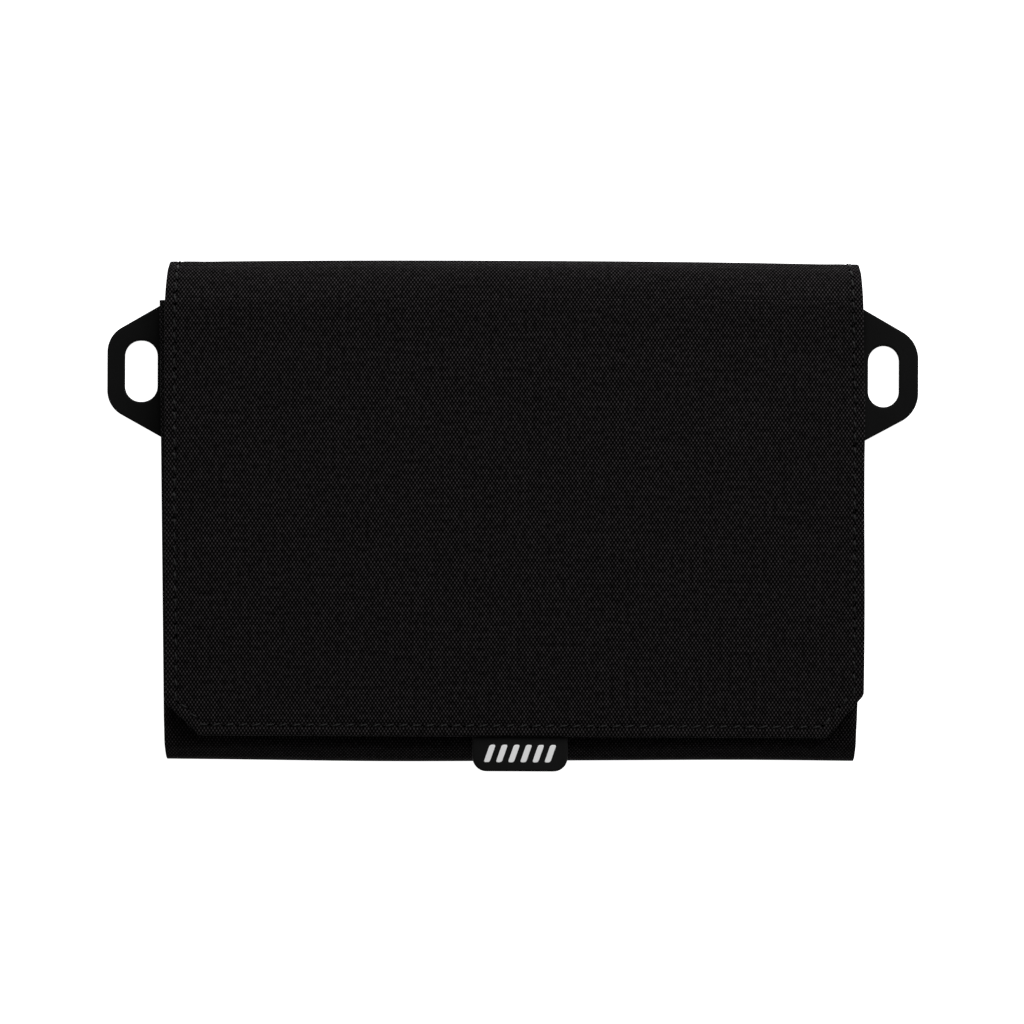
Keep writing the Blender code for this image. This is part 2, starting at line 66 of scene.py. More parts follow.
# The fold's four joints, from the back to the flap, and the bodies that they join
FOLD_JOINTS = ("flap_open", "fold_bend", "upper_bend", "flap_bend")
FOLD_PARTS = ("back", "fold_lower", "fold_upper", "flap")
FOLD_RADII = (4.0, 2.3, 14.0, 30.0)  # of the outer cloth at each crease
FOLD_FULLNESS = 1.15  # how far the cloth's outermost bend stands out from the CAD crease
FOLD_BOW = 0.75  # how far the fold's ends lie behind its middle
FOLD_BOW_REACH = 14.0
FOLD_SHOULDER = (62.1, 12.15)  # (y, z) of the closed fold's upper corner, fuller than the CAD crease
FOLD_LEVEL_Y = 53.3  # where the closed fold's slope meets the flap's level
LYING_RADII = (4.0, 2.3, 9.0, 25.0)  # of the closed cloth at its corners
FOLD_SAG = 1.25  # how much lower the fold's shoulder is towards its ends
FOLD_SAG_MIDDLE = 14.0  # the x of the stretch that doesn't sag
FOLD_SAG_FADE = (24.0, 40.0)  # where the sag starts beside that, and the length over which it grows

# Asymmetries of the sewn cloth, as it lies
POUCH_LEFT_TOP = -90.9
POUCH_LEFT_BOTTOM = -89.2
POUCH_RIGHT_TOP = 89.5
POUCH_RIGHT_BOTTOM = 88.65
FLAP_SHIFT = 0.83
FLAP_HALF_WIDTH = 89.1
FOLD_OUT_LEFT = 0.57  # how much wider the cloth is at the fold than at the flap's edge, on the left
FOLD_OUT_FADE = (55.0, 40.0)  # where that starts to die out beyond the fold's top, and its length
FOLD_IN_RIGHT = 0.6  # how much narrower it is at the fold, on the right
FOLD_IN_FADE = (18.0, 30.0)
EDGE_WAVERS = ((0.12, 9.0), (0.1, 11.0))  # (height, length) of the waver in the left and right edge
BOTTOM_BOWS = ((-0.45, -32.0, 38.0), (0.3, 62.0, 30.0))  # (height, middle, width) of the bottom's bows
BOTTOM_BOW_FADE = 12.0
FLAP_CHAMFERS = ((8.7, 8.3), (9.5, 11.0))  # (width, height) of the left and the right one
FLAP_CORNER_RADIUS = 1.6

# Sewing
SEAM_INSET = 2.6
STITCH_PITCH = 3.4
STITCH_LENGTH = 2.45
THREAD_RADIUS = 0.27
SEAM_SINK = 0.03  # how far the seam's threads sink into the cloth
SEAM_SHIFTS = (0.0, -0.05, 0.2)  # how far the left, right and bottom seams stray from SEAM_INSET
FINE_PITCH = 2.6  # stitches of the inner pockets
FINE_LENGTH = 1.9
FINE_RADIUS = 0.15

# Weave of each cloth: warp and weft spacing
SHELL_WEAVE = (0.4454, 0.653)
LINING_WEAVE = (0.24, 0.26)
BINDING_WEAVE = (0.35, 0.8)
TAPE_WEAVE = (0.5, 0.42)


def box_mm(node):
    """Lowest and highest corner of a CAD node, in millimetres."""
    low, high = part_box(node)
    return np.array(low) / MM, np.array(high) / MM


def rise(t, start, length):
    """0 up to start, then smoothly up to 1 over length."""
    t = np.clip((t - start) / length, 0.0, 1.0)
    return t * t * (3 - 2 * t)


def fall(t, start, length):
    """1 up to start, then smoothly down to 0 over length."""
    return 1 - rise(t, start, length)


def spaced(start, stop, step):
    """Even positions from start to stop, about step apart."""
    return np.linspace(start, stop, max(2, int(round(abs(stop - start) / step)) + 1))


# Distance between the points of a mesh: on the outer cloths, in their bends, and on inner pieces
CLOTH_STEP = 0.85
BEND_STEP = 0.4
INNER_STEP = 1.7
END_STEPS = (0.0, 0.07, 0.2, 0.4, 0.7, 1.1, 1.6, 2.15, 2.7, 3.25, 3.9, 4.6)


def edge_dense(length, step, low=True, high=True):
    """Positions from 0 to length, closer together near the ends that are free edges."""
    reach = min(END_STEPS[-1], length / 2.2)
    near = np.array(END_STEPS) * reach / END_STEPS[-1]
    first = near if low else near[:1]
    last = (length - near)[::-1] if high else np.array([length])
    middle = spaced(first[-1], last[0], step)[1:-1]
    return np.concatenate([first, middle, last])


def grid_between(rows, left, right, step):
    """A grid between two sides: x, the place along the rows, and the distance from the nearer side."""
    width = float(np.max(right - left))
    share = edge_dense(width, step) / width
    x = left[:, None] + (right - left)[:, None] * share[None]
    from_left = (x - left[:, None]) / np.sqrt(1 + np.gradient(left, rows) ** 2)[:, None]
    from_right = (right[:, None] - x) / np.sqrt(1 + np.gradient(right, rows) ** 2)[:, None]
    return x, np.broadcast_to(rows[:, None], x.shape), np.minimum(from_left, from_right)


# ---------------------------------------------------------------- materials


class Shader:
    """A Principled material that is built up node by node."""

    def __init__(self, name, roughness, specular, **sockets):
        self.material = bpy.data.materials.new(name)
        self.material.use_nodes = True
        self.tree = self.material.node_tree
        self.principled = self.tree.nodes["Principled BSDF"]
        self.set("Roughness", roughness)
        self.set("Specular IOR Level", specular)
        for socket, value in sockets.items():
            self.set(socket.replace("_", " "), value)

    def set(self, socket, value):
        """Sets a socket of the shader to a number or colour, or joins a node's output to it."""
        if isinstance(value, bpy.types.NodeSocket):
            self.tree.links.new(value, self.principled.inputs[socket])
        else:
            self.principled.inputs[socket].default_value = value

    def node(self, kind, inputs=(), output=0, **settings):
        """Adds a node and returns one of its outputs. inputs maps a socket to a value or an output."""
        node = self.tree.nodes.new(kind)
        for key, value in settings.items():
            setattr(node, key, value)
        for socket, value in dict(inputs).items():
            if isinstance(value, bpy.types.NodeSocket):
                self.tree.links.new(value, node.inputs[socket])
            else:
                node.inputs[socket].default_value = value
        return node.outputs[output]

    def math(self, operation, first, second=0.0):
        """Adds a sum and returns its result."""
        return self.node("ShaderNodeMath", {0: first, 1: second}, operation=operation)

    def cloth_uv(self):
        """The flat pattern's coordinates in millimetres: together, across and along."""
        uv = self.node("ShaderNodeUVMap", uv_map="Cloth")
        across = self.node("ShaderNodeSeparateXYZ", {0: uv})
        return uv, across, across.node.outputs[1]

    def noise(self, vector, scale, detail=2.0, roughness=0.5):
        inputs = {"Vector": vector, "Scale": scale, "Detail": detail, "Roughness": roughness}
        return self.node("ShaderNodeTexNoise", inputs)

    def spread(self, value, low, high, new_low, new_high):
        """Maps value from one range to another, clamped."""
        inputs = {0: value, 1: low, 2: high, 3: new_low, 4: new_high}
        return self.node("ShaderNodeMapRange", inputs)

    def blend(self, factor, dark, bright):
        """A colour between two near-greys."""
        inputs = {0: factor, 6: (*dark, 1.0), 7: (*bright, 1.0)}
        return self.node("ShaderNodeMix", inputs, output=2, data_type="RGBA")

    def bump(self, height, distance, strength=1.0):
        inputs = {"Height": height, "Distance": distance * MM, "Strength": strength}
        self.set("Normal", self.node("ShaderNodeBump", inputs))


def object_place(shader):
    """The place on the object, in metres."""
    return shader.node("ShaderNodeTexCoord", output=3)


def woven(
    name, weave, dark, bright, roughness=0.75, specular=0.015, relief=0.09, sheen=0.0, sharpness=3.2
):
    """Plain-woven cloth with uneven threads, its light and shade painted into its colour.

    Where a weft thread comes over, the bright colour is a painted highlight; the warp crowns and the
    gaps between threads take the dark colour as painted shade.
    """
    shader = Shader(name, roughness, specular, Sheen_Weight=sheen, Sheen_Roughness=0.45)
    uv, across, along = shader.cloth_uv()
    wander = shader.noise(uv, 0.35, 1.0)
    along_x = shader.math("ADD", across, shader.math("MULTIPLY", wander, 0.12))
    along_s = shader.math("ADD", along, shader.math("MULTIPLY", wander, 0.16))
    warp = shader.math("SINE", shader.math("MULTIPLY", along_x, math.pi / weave[0]))
    weft = shader.math("SINE", shader.math("MULTIPLY", along_s, math.pi / weave[1]))
    over = shader.math("MULTIPLY", warp, weft)
    # Painted highlight on the weft crowns; the warp crowns and the gaps keep the dark colour as painted shade
    painted_crown_highlight = shader.math("POWER", shader.spread(over, -1.0, 1.0, 0.0, 1.0), sharpness)
    slub_place = shader.node("ShaderNodeMapping", {0: uv, 3: (0.06, 1.0 / weave[1], 1.0)})
    slub = shader.spread(shader.noise(slub_place, 1.0, 3.0), 0.3, 0.7, 0.8, 1.2)
    rib_place = shader.node("ShaderNodeMapping", {0: uv, 3: (1.0 / weave[0], 0.05, 1.0)})
    rib = shader.spread(shader.noise(rib_place, 1.0, 2.0), 0.3, 0.7, 0.88, 1.12)
    knot = shader.spread(shader.noise(uv, 0.8, 1.0), 0.3, 0.7, 0.6, 1.4)
    uneven = shader.math("MULTIPLY", shader.math("MULTIPLY", slub, rib), knot)
    factor = shader.math("MULTIPLY", painted_crown_highlight, uneven)
    shader.set("Base Color", shader.blend(factor, dark, bright))
    shader.bump(shader.math("ABSOLUTE", over), relief)
    return shader.material


def knitted(name, pitch, dark, bright):
    """Knitted mesh: rows of small round holes, each row shifted by half a hole."""
    shader = Shader(name, 0.8, 0.1)
    uv, across, along = shader.cloth_uv()
    across = shader.math("SINE", shader.math("MULTIPLY", across, math.pi / pitch))
    along = shader.math("SINE", shader.math("MULTIPLY", along, math.pi / pitch))
    hole = shader.math("ABSOLUTE", shader.math("MULTIPLY", across, along))
    yarn = shader.spread(hole, 0.35, 0.75, 1.0, 0.0)
    fuzz = shader.spread(shader.noise(uv, 3.0, 3.0), 0.3, 0.7, 0.7, 1.3)
    shader.set("Base Color", shader.blend(shader.math("MULTIPLY", yarn, fuzz), dark, bright))
    shader.bump(yarn, 0.25)
    return shader.material


def pile(name, pitch, dark, bright, height):
    """Hook-and-loop pile: close rows of small tufts.

    Each tuft has a painted highlight on its top and painted shade towards its edge.
    """
    shader = Shader(name, 0.9, 0.05, Sheen_Weight=0.05)
    place = object_place(shader)
    inputs = {"Vector": place, "Scale": 1.0 / (pitch * MM), "Randomness": 0.75}
    tufts = shader.node("ShaderNodeTexVoronoi", inputs)
    fuzz = shader.noise(place, 4.0 / (pitch * MM), 3.0, 0.7)
    # Painted light: each tuft is lighter on top as painted highlight and darker towards its edge as painted shade
    top = shader.spread(tufts, 0.0, 0.6, 1.0, 0.0)
    mixed = shader.math("MULTIPLY", top, shader.spread(fuzz, 0.3, 0.7, 0.5, 1.4))
    shader.set("Base Color", shader.blend(mixed, dark, bright))
    shader.bump(mixed, height)
    return shader.material


def moulded(name, base, worn, roughness, specular, grain, metallic=0.0):
    """A moulded or painted surface with a fine grain, faint marks and uneven gloss."""
    shader = Shader(name, roughness, specular, Metallic=metallic)
    place = object_place(shader)
    fine = shader.noise(place, 1.0 / (grain * MM), 3.0, 0.6)
    broad = shader.noise(place, 60.0, 3.0)
    shader.set("Base Color", shader.blend(shader.spread(broad, 0.35, 0.7, 0.0, 1.0), base, worn))
    shader.set("Roughness", shader.spread(broad, 0.3, 0.7, roughness - 0.06, roughness + 0.08))
    shader.bump(fine, 0.03)
    return shader.material


def thread_like(name, base, bright, roughness=0.5, specular=0.35):
    """Twisted sewing thread: fine slanting plies, their bright bands painted glints."""
    shader = Shader(name, roughness, specular, Sheen_Weight=0.02)
    inputs = {"Vector": object_place(shader), "Scale": 900.0, "Distortion": 1.5}
    plies_and_glints = shader.node("ShaderNodeTexWave", inputs)
    # The plies' bright bands are painted glints and their dark bands painted shade; the bump is their real relief
    shader.set("Base Color", shader.blend(plies_and_glints, base, bright))
    shader.bump(plies_and_glints, 0.04)
    return shader.material


def grey(value, tint=0.0):
    """A near-grey colour, redder and less green with more tint."""
    return (value * (1 + tint), value * (1 - 0.7 * tint), value)


SHELL_GLOSS = {"specular": 0.008, "sheen": 0.001}
MATERIALS = {
    # Each woven cloth's dark colour is painted shade in its gaps and on its warp crowns, its bright one painted
    # highlight on its weft crowns
    "shell": woven("shell_cloth", SHELL_WEAVE, grey(0.0002), grey(0.0368, 0.065), **SHELL_GLOSS),
    "panel": woven("panel_cloth", SHELL_WEAVE, grey(0.0002), grey(0.031, 0.065), **SHELL_GLOSS),
    "lining": woven("lining_cloth", LINING_WEAVE, grey(0.004), grey(0.022), 0.6, 0.2, 0.03, 0.01, 1.5),
    "binding": woven("binding_tape", BINDING_WEAVE, grey(0.002), grey(0.02), 0.7, 0.15, 0.1, 0.01, 1.8),
    "zip_tape": woven("zip_tape", TAPE_WEAVE, grey(0.002), grey(0.018), 0.75, 0.12, 0.08, 0.01, 1.8),
    "mesh": knitted("mesh_cloth", 1.3, grey(0.0008), grey(0.02)),
    "loop_pile": pile("loop_pile", 0.35, grey(0.002), grey(0.014), 0.12),
    "hook_pile": pile("hook_pile", 0.8, grey(0.002), grey(0.02), 0.3),
    "moulded": moulded("moulded_plastic", grey(0.0042), grey(0.0056), 0.6, 0.03, 0.25),
    "rubber": moulded("label_rubber", grey(0.005), grey(0.0068), 0.55, 0.04, 0.3),
    "mark": moulded("label_mark", grey(0.7), grey(0.74), 0.6, 0.2, 0.3),
    "board": moulded("stiffener_board", grey(0.3), grey(0.34), 0.5, 0.4, 0.6),
    "coil": moulded("zip_coil", grey(0.012), grey(0.016), 0.4, 0.4, 0.3),
    "metal": moulded("zip_metal", grey(0.03), grey(0.045), 0.35, 0.5, 0.5, 0.8),
    "thread": thread_like("sewing_thread", grey(0.002), grey(0.017), 0.45, 0.1),
    # Black of the needle holes: painted shade in the holes at the stitch ends
    "needle_hole_shade": moulded("needle_hole_shade", grey(0.0), grey(0.0003), 0.9, 0.0, 0.3),
}


# ---------------------------------------------------------------- mesh helpers


def add_mesh(name, points, faces, material, uv=None):
    """Makes an object from points in millimetres. uv gives each point its place on the flat pattern."""
    mesh = bpy.data.meshes.new(name)
    mesh.from_pydata((np.asarray(points) * MM).tolist(), [], faces)
    if uv is not None:
        layer = mesh.uv_layers.new(name="Cloth")
        corners = np.zeros(len(mesh.loops), np.int64)
        mesh.loops.foreach_get("vertex_index", corners)
        layer.data.foreach_set("uv", np.asarray(uv, np.float32)[corners].ravel())
    mesh.shade_smooth()
    mesh.validate()
    obj = bpy.data.objects.new(name, mesh)
    bpy.context.scene.collection.objects.link(obj)
    mesh.materials.append(MATERIALS[material])
    return obj


def grid_faces(index):
    """The four-sided faces of a grid of vertex numbers."""
    corners = [index[:-1, :-1], index[:-1, 1:], index[1:, 1:], index[1:, :-1]]
    return np.stack(corners, axis=-1).reshape(-1, 4)


def tube_faces(rings, sides, first=0, turned=False):
    """Faces of a closed tube, whose vertices are rings of so many sides from number first on."""
    faces = []
    for ring in range(rings - 1):
        for side in range(sides):
            a = first + ring * sides + side
            b = first + ring * sides + (side + 1) % sides
            faces.append((a, a + sides, b + sides, b) if turned else (a, b, b + sides, a + sides))
    low = tuple(range(first, first + sides))
    high = tuple(range(first + (rings - 1) * sides, first + rings * sides))
    return faces + ([low, high[::-1]] if turned else [low[::-1], high])


def repeated(faces, vertices, copies):
    """The faces of so many copies of a shape, one after another."""
    return [[v + vertices * i for v in face] for i in range(copies) for face in faces]


class Profile:
    """A line in the YZ plane through corners, rounded by radii, and measured by its length s.

    Its outer side is on the right of its direction.
    """

    def __init__(self, corners, radii):
        corners = [np.array(c, float) for c in corners]
        points, headings = [corners[0]], []
        self.spans = []  # (s where a bend starts, s where it ends)
        bends = []
        for before, corner, after, radius in zip(corners, corners[1:], corners[2:], radii):
            first = math.atan2(*(corner - before)[::-1])
            last = math.atan2(*(after - corner)[::-1])
            turn = (last - first + math.pi) % (2 * math.pi) - math.pi
            reach = radius * math.tan(abs(turn) / 2)
            side = math.copysign(radius, turn)
            start = corner - reach * np.array([math.cos(first), math.sin(first)])
            centre = start + side * np.array([-math.sin(first), math.cos(first)])
            steps = np.linspace(0, 1, max(4, int(abs(turn) / 0.03)))
            bends.append((first, turn, centre, side, steps))
        headings.append(bends[0][0])
        for first, turn, centre, side, steps in bends:
            for step in steps:
                heading = first + turn * step
                points.append(centre - side * np.array([-math.sin(heading), math.cos(heading)]))
                headings.append(heading)
        points.append(corners[-1])
        headings.append(headings[-1])
        points = np.array(points)
        lengths = np.linalg.norm(np.diff(points, axis=0), axis=1)
        self.s = np.concatenate([[0.0], np.cumsum(lengths)])
        self.y, self.z = points.T
        self.heading = np.unwrap(headings)
        self.length = self.s[-1]
        index = 1
        for *_, steps in bends:
            self.spans.append((self.s[index], self.s[index + len(steps) - 1]))
            index += len(steps)

    def at(self, s):
        """(y, z, heading) at s."""
        return tuple(np.interp(s, self.s, values) for values in (self.y, self.z, self.heading))

    def embed(self, x, s, offset=0.0):
        """Points and outward normals for flat places (x, s), moved out by offset."""
        y, z, heading = self.at(s)
        normal = np.stack([np.zeros_like(heading), np.sin(heading), -np.cos(heading)], axis=-1)
        offset = np.broadcast_to(offset, np.shape(s))
        return np.stack([x, y, z], axis=-1) + normal * offset[..., None], normal


def sheet_mesh(name, x, s, points, normals, half, material, free=(True, True), outer_relief=0.0):
    """A closed sheet from a grid of middle-surface points, whose flat pattern is (x, s).

    half is the half thickness at each point, zero along the free edges, where both faces meet. free
    says which of the low and high s ends are free; the other ends get a rim.
    """
    rows, columns = x.shape
    lift = np.broadcast_to(outer_relief, x.shape)
    outer = points + normals * (half + lift * (half > 0))[..., None]
    inner = points - normals * half[..., None]
    shared = np.zeros((rows, columns), bool)
    shared[:, 0] = shared[:, -1] = True
    shared[0] |= free[0]
    shared[-1] |= free[1]
    outer_index = np.arange(rows * columns).reshape(rows, columns)
    inner_index = outer_index.copy()
    apart = ~shared
    inner_index[apart] = rows * columns + np.arange(apart.sum())
    all_points = np.concatenate([outer.reshape(-1, 3), inner[apart]])
    uv = np.stack([x, s], axis=-1)
    all_uv = np.concatenate([uv.reshape(-1, 2), uv[apart]])
    faces = [grid_faces(outer_index), grid_faces(inner_index.T)]
    for row in (0, -1):
        if not free[row]:
            rim = np.stack([outer_index[row], inner_index[row]])
            faces.append(grid_faces(rim.T if row == 0 else rim))
    joined = []
    for face in np.concatenate(faces).tolist():
        corners = [v for i, v in enumerate(face) if v != face[i - 1]]
        if len(set(corners)) >= 3:
            joined.append(corners)
    return add_mesh(name, all_points, joined, material, all_uv)


def rounded_half(distance, half):
    """Half thickness of a cloth near its turned edge, round like half a circle."""
    reach = np.clip(distance / half, 0.0, 1.0)
    return np.where(distance < 1e-6, 0.0, half * np.sqrt(1 - (1 - reach) ** 2))


# (place along a stitch, its thickness there) as shares of its half length and its radius
STITCH_RINGS = (
    (-1.0, 0.0),
    (-0.93, 0.55),
    (-0.6, 0.92),
    (0.0, 1.0),
    (0.6, 0.92),
    (0.93, 0.55),
    (1.0, 0.0),
)
STITCH_SIDES = 8


def stitch_template(length, radius):
    """One stitch: a thread that arches between its two holes. Returns (along, across, up) and faces."""
    points = []
    for along, share in STITCH_RINGS:
        sink = radius * (0.25 - 1.25 * abs(along) ** 3)
        for side in range(STITCH_SIDES):
            angle = 2 * math.pi * side / STITCH_SIDES
            ring = max(share, 0.02) * radius
            points.append((along * length / 2, ring * math.cos(angle), sink + ring * math.sin(angle)))
    return np.array(points), tube_faces(len(STITCH_RINGS), STITCH_SIDES, turned=True)


# A needle hole is a real dimple at a stitch's end, coloured black as painted shade inside it
HOLE_SIZE = (1.9, 1.25, 1.5)  # half sizes of a needle hole along, across and down, in thread radii
HOLE_RINGS = ((-0.8, 0.6), (0.0, 1.0), (0.8, 0.6))


def add_needle_hole_shade(template, faces, length, radius):
    """Adds a needle hole at each end of a stitch: a dimple coloured black as painted shade.

    Returns points, faces and the first face of painted shade.
    """
    points, all_faces = [template], list(faces)
    for end in (-1, 1):
        first = len(template) + (end + 1) // 2 * len(HOLE_RINGS) * STITCH_SIDES
        all_faces += tube_faces(len(HOLE_RINGS), STITCH_SIDES, first)
        centre = np.array([end * (length / 2 + 0.9 * radius), 0.0, -1.1 * radius])
        for height, share in HOLE_RINGS:
            for side in range(STITCH_SIDES):
                angle = 2 * math.pi * side / STITCH_SIDES
                unit = np.array([share * math.cos(angle), share * math.sin(angle), height])
                points.append((centre + unit * HOLE_SIZE * radius)[None])
    return np.concatenate(points), all_faces, len(faces)


def stitches(name, places, directions, normals, length=STITCH_LENGTH, radius=THREAD_RADIUS):
    """A row of stitches as one object, each a little out of line, with its needle holes.

    The needle holes are dimples coloured black as painted shade.
    """
    template, faces = stitch_template(length, radius)
    template, faces, first_shade_face = add_needle_hole_shade(template, faces, length, radius)
    directions = directions / np.linalg.norm(directions, axis=1, keepdims=True)
    across = np.cross(normals, directions)
    slant = np.radians(RANDOM.normal(13.0, 3.5, len(places)))[:, None]
    along = directions * np.cos(slant) + across * np.sin(slant)
    across = np.cross(normals, along)
    points = places[:, None] + (
        template[None, :, 0, None] * along[:, None]
        + template[None, :, 1, None] * across[:, None]
        + template[None, :, 2, None] * normals[:, None]
    )
    all_faces = repeated(faces, len(template), len(places))
    obj = add_mesh(name, points.reshape(-1, 3), all_faces, "thread")
    obj.data.materials.append(MATERIALS["needle_hole_shade"])
    # The needle holes' faces take the black of painted shade
    dark = np.tile(np.arange(len(faces)) >= first_shade_face, len(places)).astype(np.int32)
    obj.data.polygons.foreach_set("material_index", dark)
    return obj


def walk(path, pitch, closed=False):
    """Places every pitch along a path of (x, s), with the direction there."""
    path = np.array(path, float)
    if closed:
        path = np.vstack([path, path[:1]])
    lengths = np.concatenate([[0.0], np.cumsum(np.linalg.norm(np.diff(path, axis=0), axis=1))])
    count = int(lengths[-1] // pitch)
    spare = lengths[-1] - count * pitch
    at = (np.arange(count) + 0.5) * pitch + spare / 2
    place = np.stack([np.interp(at, lengths, path[:, axis]) for axis in (0, 1)], axis=-1)
    ahead = np.stack([np.interp(at + 0.1, lengths, path[:, axis]) for axis in (0, 1)], axis=-1)
    return place, ahead - place


# ---------------------------------------------------------------- outer cloth


creases = [np.array(j["pos_m"][1:]) / MM for j in frame["joints"] if j["name"] in FOLD_JOINTS]
back_low, back_high = box_mm("back_cloth")
flap_low = box_mm("flap_cloth")[0]
CLOTH_HALF = (back_high[2] - back_low[2]) / 2
POUCH_TOP_Y = box_mm("left_gusset")[1][1]
creases[1] = creases[1] + np.array([FOLD_FULLNESS, 0.0])
OUTER = Profile(
    [(back_low[1], CLOTH_HALF), *creases, (flap_low[1], creases[-1][1])],
    FOLD_RADII,
)
# Borders between the four sheets, each on a straight stretch between two bends
BORDERS = [(OUTER.spans[i][1] + OUTER.spans[i + 1][0]) / 2 for i in range(3)]
BACK_END = OUTER.spans[0][0]  # s where the fold's first bend starts
FLAP_START = OUTER.spans[3][1]  # s where its last bend ends
FOLD_TOP_S = sum(OUTER.spans[1]) / 2
level_z = creases[-1][1]
LYING = Profile(
    [
        (back_low[1], CLOTH_HALF),
        *creases[:2],
        FOLD_SHOULDER,
        (FOLD_LEVEL_Y, level_z),
        (flap_low[1], level_z),
    ],
    LYING_RADII,
)
LYING_TOP = int(np.argmax(LYING.y))


def chamfer_inset(t, size, radius):
    """How far a chamfer with two rounded corners draws the side in, at t from the end."""
    chamfer = size[0]
    t = t * size[0] / size[1]
    reach = radius * math.tan(math.pi / 8)
    lower_drop = radius - np.minimum(t, radius)
    lower = chamfer + reach - np.sqrt(np.maximum(0.0, radius**2 - lower_drop**2))
    upper_drop = np.clip(chamfer + reach - t, 0.0, radius)
    upper = radius - np.sqrt(radius**2 - upper_drop**2)
    split_low = radius * (1 - math.cos(math.pi / 4))
    split_high = chamfer + reach - radius * math.sin(math.pi / 4)
    straight = chamfer - t
    return np.where(t < split_low, lower, np.where(t < split_high, straight, upper))


def corner_inset(t, radius):
    """How far a round corner draws the side in, at t from the end."""
    left = np.clip(radius - t, 0.0, radius)
    return radius - np.sqrt(np.maximum(0.0, radius**2 - left**2))


def pouch_edges(y):
    """Left and right edge of the pouch at y: its left side leans out towards the top."""
    share = (y - back_low[1]) / (POUCH_TOP_Y - back_low[1])
    left = POUCH_LEFT_BOTTOM + (POUCH_LEFT_TOP - POUCH_LEFT_BOTTOM) * np.clip(share, 0, 1)
    right = POUCH_RIGHT_BOTTOM + (POUCH_RIGHT_TOP - POUCH_RIGHT_BOTTOM) * rise(share, 0.0, 0.3)
    return left, right


def outer_edges(s):
    """Left and right edge of the outer cloth at s."""
    y = OUTER.at(s)[0]
    pouch_left, pouch_right = pouch_edges(y)
    beyond_pouch = np.minimum(rise(y, POUCH_TOP_Y - 0.5, 2.2) + (s > FOLD_TOP_S), 1.0)
    wavers = [height * np.sin(s / length) for height, length in EDGE_WAVERS]
    out = FOLD_OUT_LEFT * fall(s - FOLD_TOP_S, *FOLD_OUT_FADE)
    drawn_in = FOLD_IN_RIGHT * fall(s - FOLD_TOP_S, *FOLD_IN_FADE)
    fold_left = FLAP_SHIFT - FLAP_HALF_WIDTH + wavers[0] - out
    fold_right = FLAP_SHIFT + FLAP_HALF_WIDTH + wavers[1] - drawn_in
    insets = [chamfer_inset(OUTER.length - s, size, FLAP_CORNER_RADIUS) for size in FLAP_CHAMFERS]
    left = pouch_left + (fold_left - pouch_left) * beyond_pouch + insets[0]
    right = pouch_right + (fold_right - pouch_right) * beyond_pouch - insets[1]
    return left, right


def bottom_bow(x):
    """How far the pouch's sewn bottom edge strays from straight."""
    return sum(height * np.exp(-(((x - middle) / width) ** 2)) for height, middle, width in BOTTOM_BOWS)


def outer_place(x, s, offset=0.0):
    """The outer cloth's surface, with the fold's bow and the bottom edge's, moved out by offset."""
    points, normals = OUTER.embed(x, s, offset)
    at_fold = np.exp(-(((s - FOLD_TOP_S) / FOLD_BOW_REACH) ** 2))
    points[..., 1] -= FOLD_BOW * at_fold * np.abs(x / FLAP_HALF_WIDTH) ** 2.5
    points[..., 1] += bottom_bow(x) * fall(s, 0.0, BOTTOM_BOW_FADE)
    points[..., 2] += fold_lift(x, s)
    return points, normals


def fold_lift(x, s):
    """How far the closed cloth is above its CAD profile: a full shoulder, lower at the fold's ends."""
    y, z, _ = OUTER.at(s)
    full = np.interp(y, LYING.y[LYING_TOP:][::-1], LYING.z[LYING_TOP:][::-1])
    towards_end = rise(np.abs(x - FOLD_SAG_MIDDLE), *FOLD_SAG_FADE)
    sag = FOLD_SAG * towards_end * rise(y, 54.0, 7.0)
    return (full - z - sag) * rise(s, FOLD_TOP_S, 4.0)


HEM_SWELL = 0.16
RELIEF_FADE = 0.5  # over which a relief dies out at a cloth's edge


def hem_relief(distance, along, inset, pitch, depth=0.3, swell=HEM_SWELL):
    """Height of a turned and topstitched edge: thicker outside the seam, and pulled in along it."""
    groove = np.exp(-(((distance - inset) / 0.5) ** 2))
    pull = 0.7 + 0.3 * np.cos(2 * math.pi * along / pitch)
    outside = fall(distance, inset - 0.4, 0.8)
    inside = rise(distance, inset, 1.2) * fall(distance, inset + 1.0, 7.0)
    return swell * (outside + 0.8 * inside) - depth * groove * pull


def cubic_sample(grid, row, column):
    """Smooth values between the points of a grid, at fractional rows and columns."""

    def weights(t):
        return (
            (1 - t) ** 3 / 6,
            (3 * t**3 - 6 * t**2 + 4) / 6,
            (-3 * t**3 + 3 * t**2 + 3 * t + 1) / 6,
            t**3 / 6,
        )

    rows, columns = grid.shape
    row0, column0 = np.floor(row).astype(int), np.floor(column).astype(int)
    total = np.zeros(np.shape(row))
    for i, weight_row in enumerate(weights(row - row0)):
        for j, weight_column in enumerate(weights(column - column0)):
            value = grid[np.clip(row0 + i - 1, 0, rows - 1), np.clip(column0 + j - 1, 0, columns - 1)]
            total += weight_row * weight_column * value
    return total


DRAPE_STEP = 3.0
DRAPE_FRAMES = 18
DRAPE_CAP = 0.32
drape_y = spaced(flap_low[1] + SEAM_INSET, creases[-1][0] - 2.0, DRAPE_STEP)
drape_x = spaced(-FLAP_HALF_WIDTH + SEAM_INSET, FLAP_HALF_WIDTH - SEAM_INSET, DRAPE_STEP)


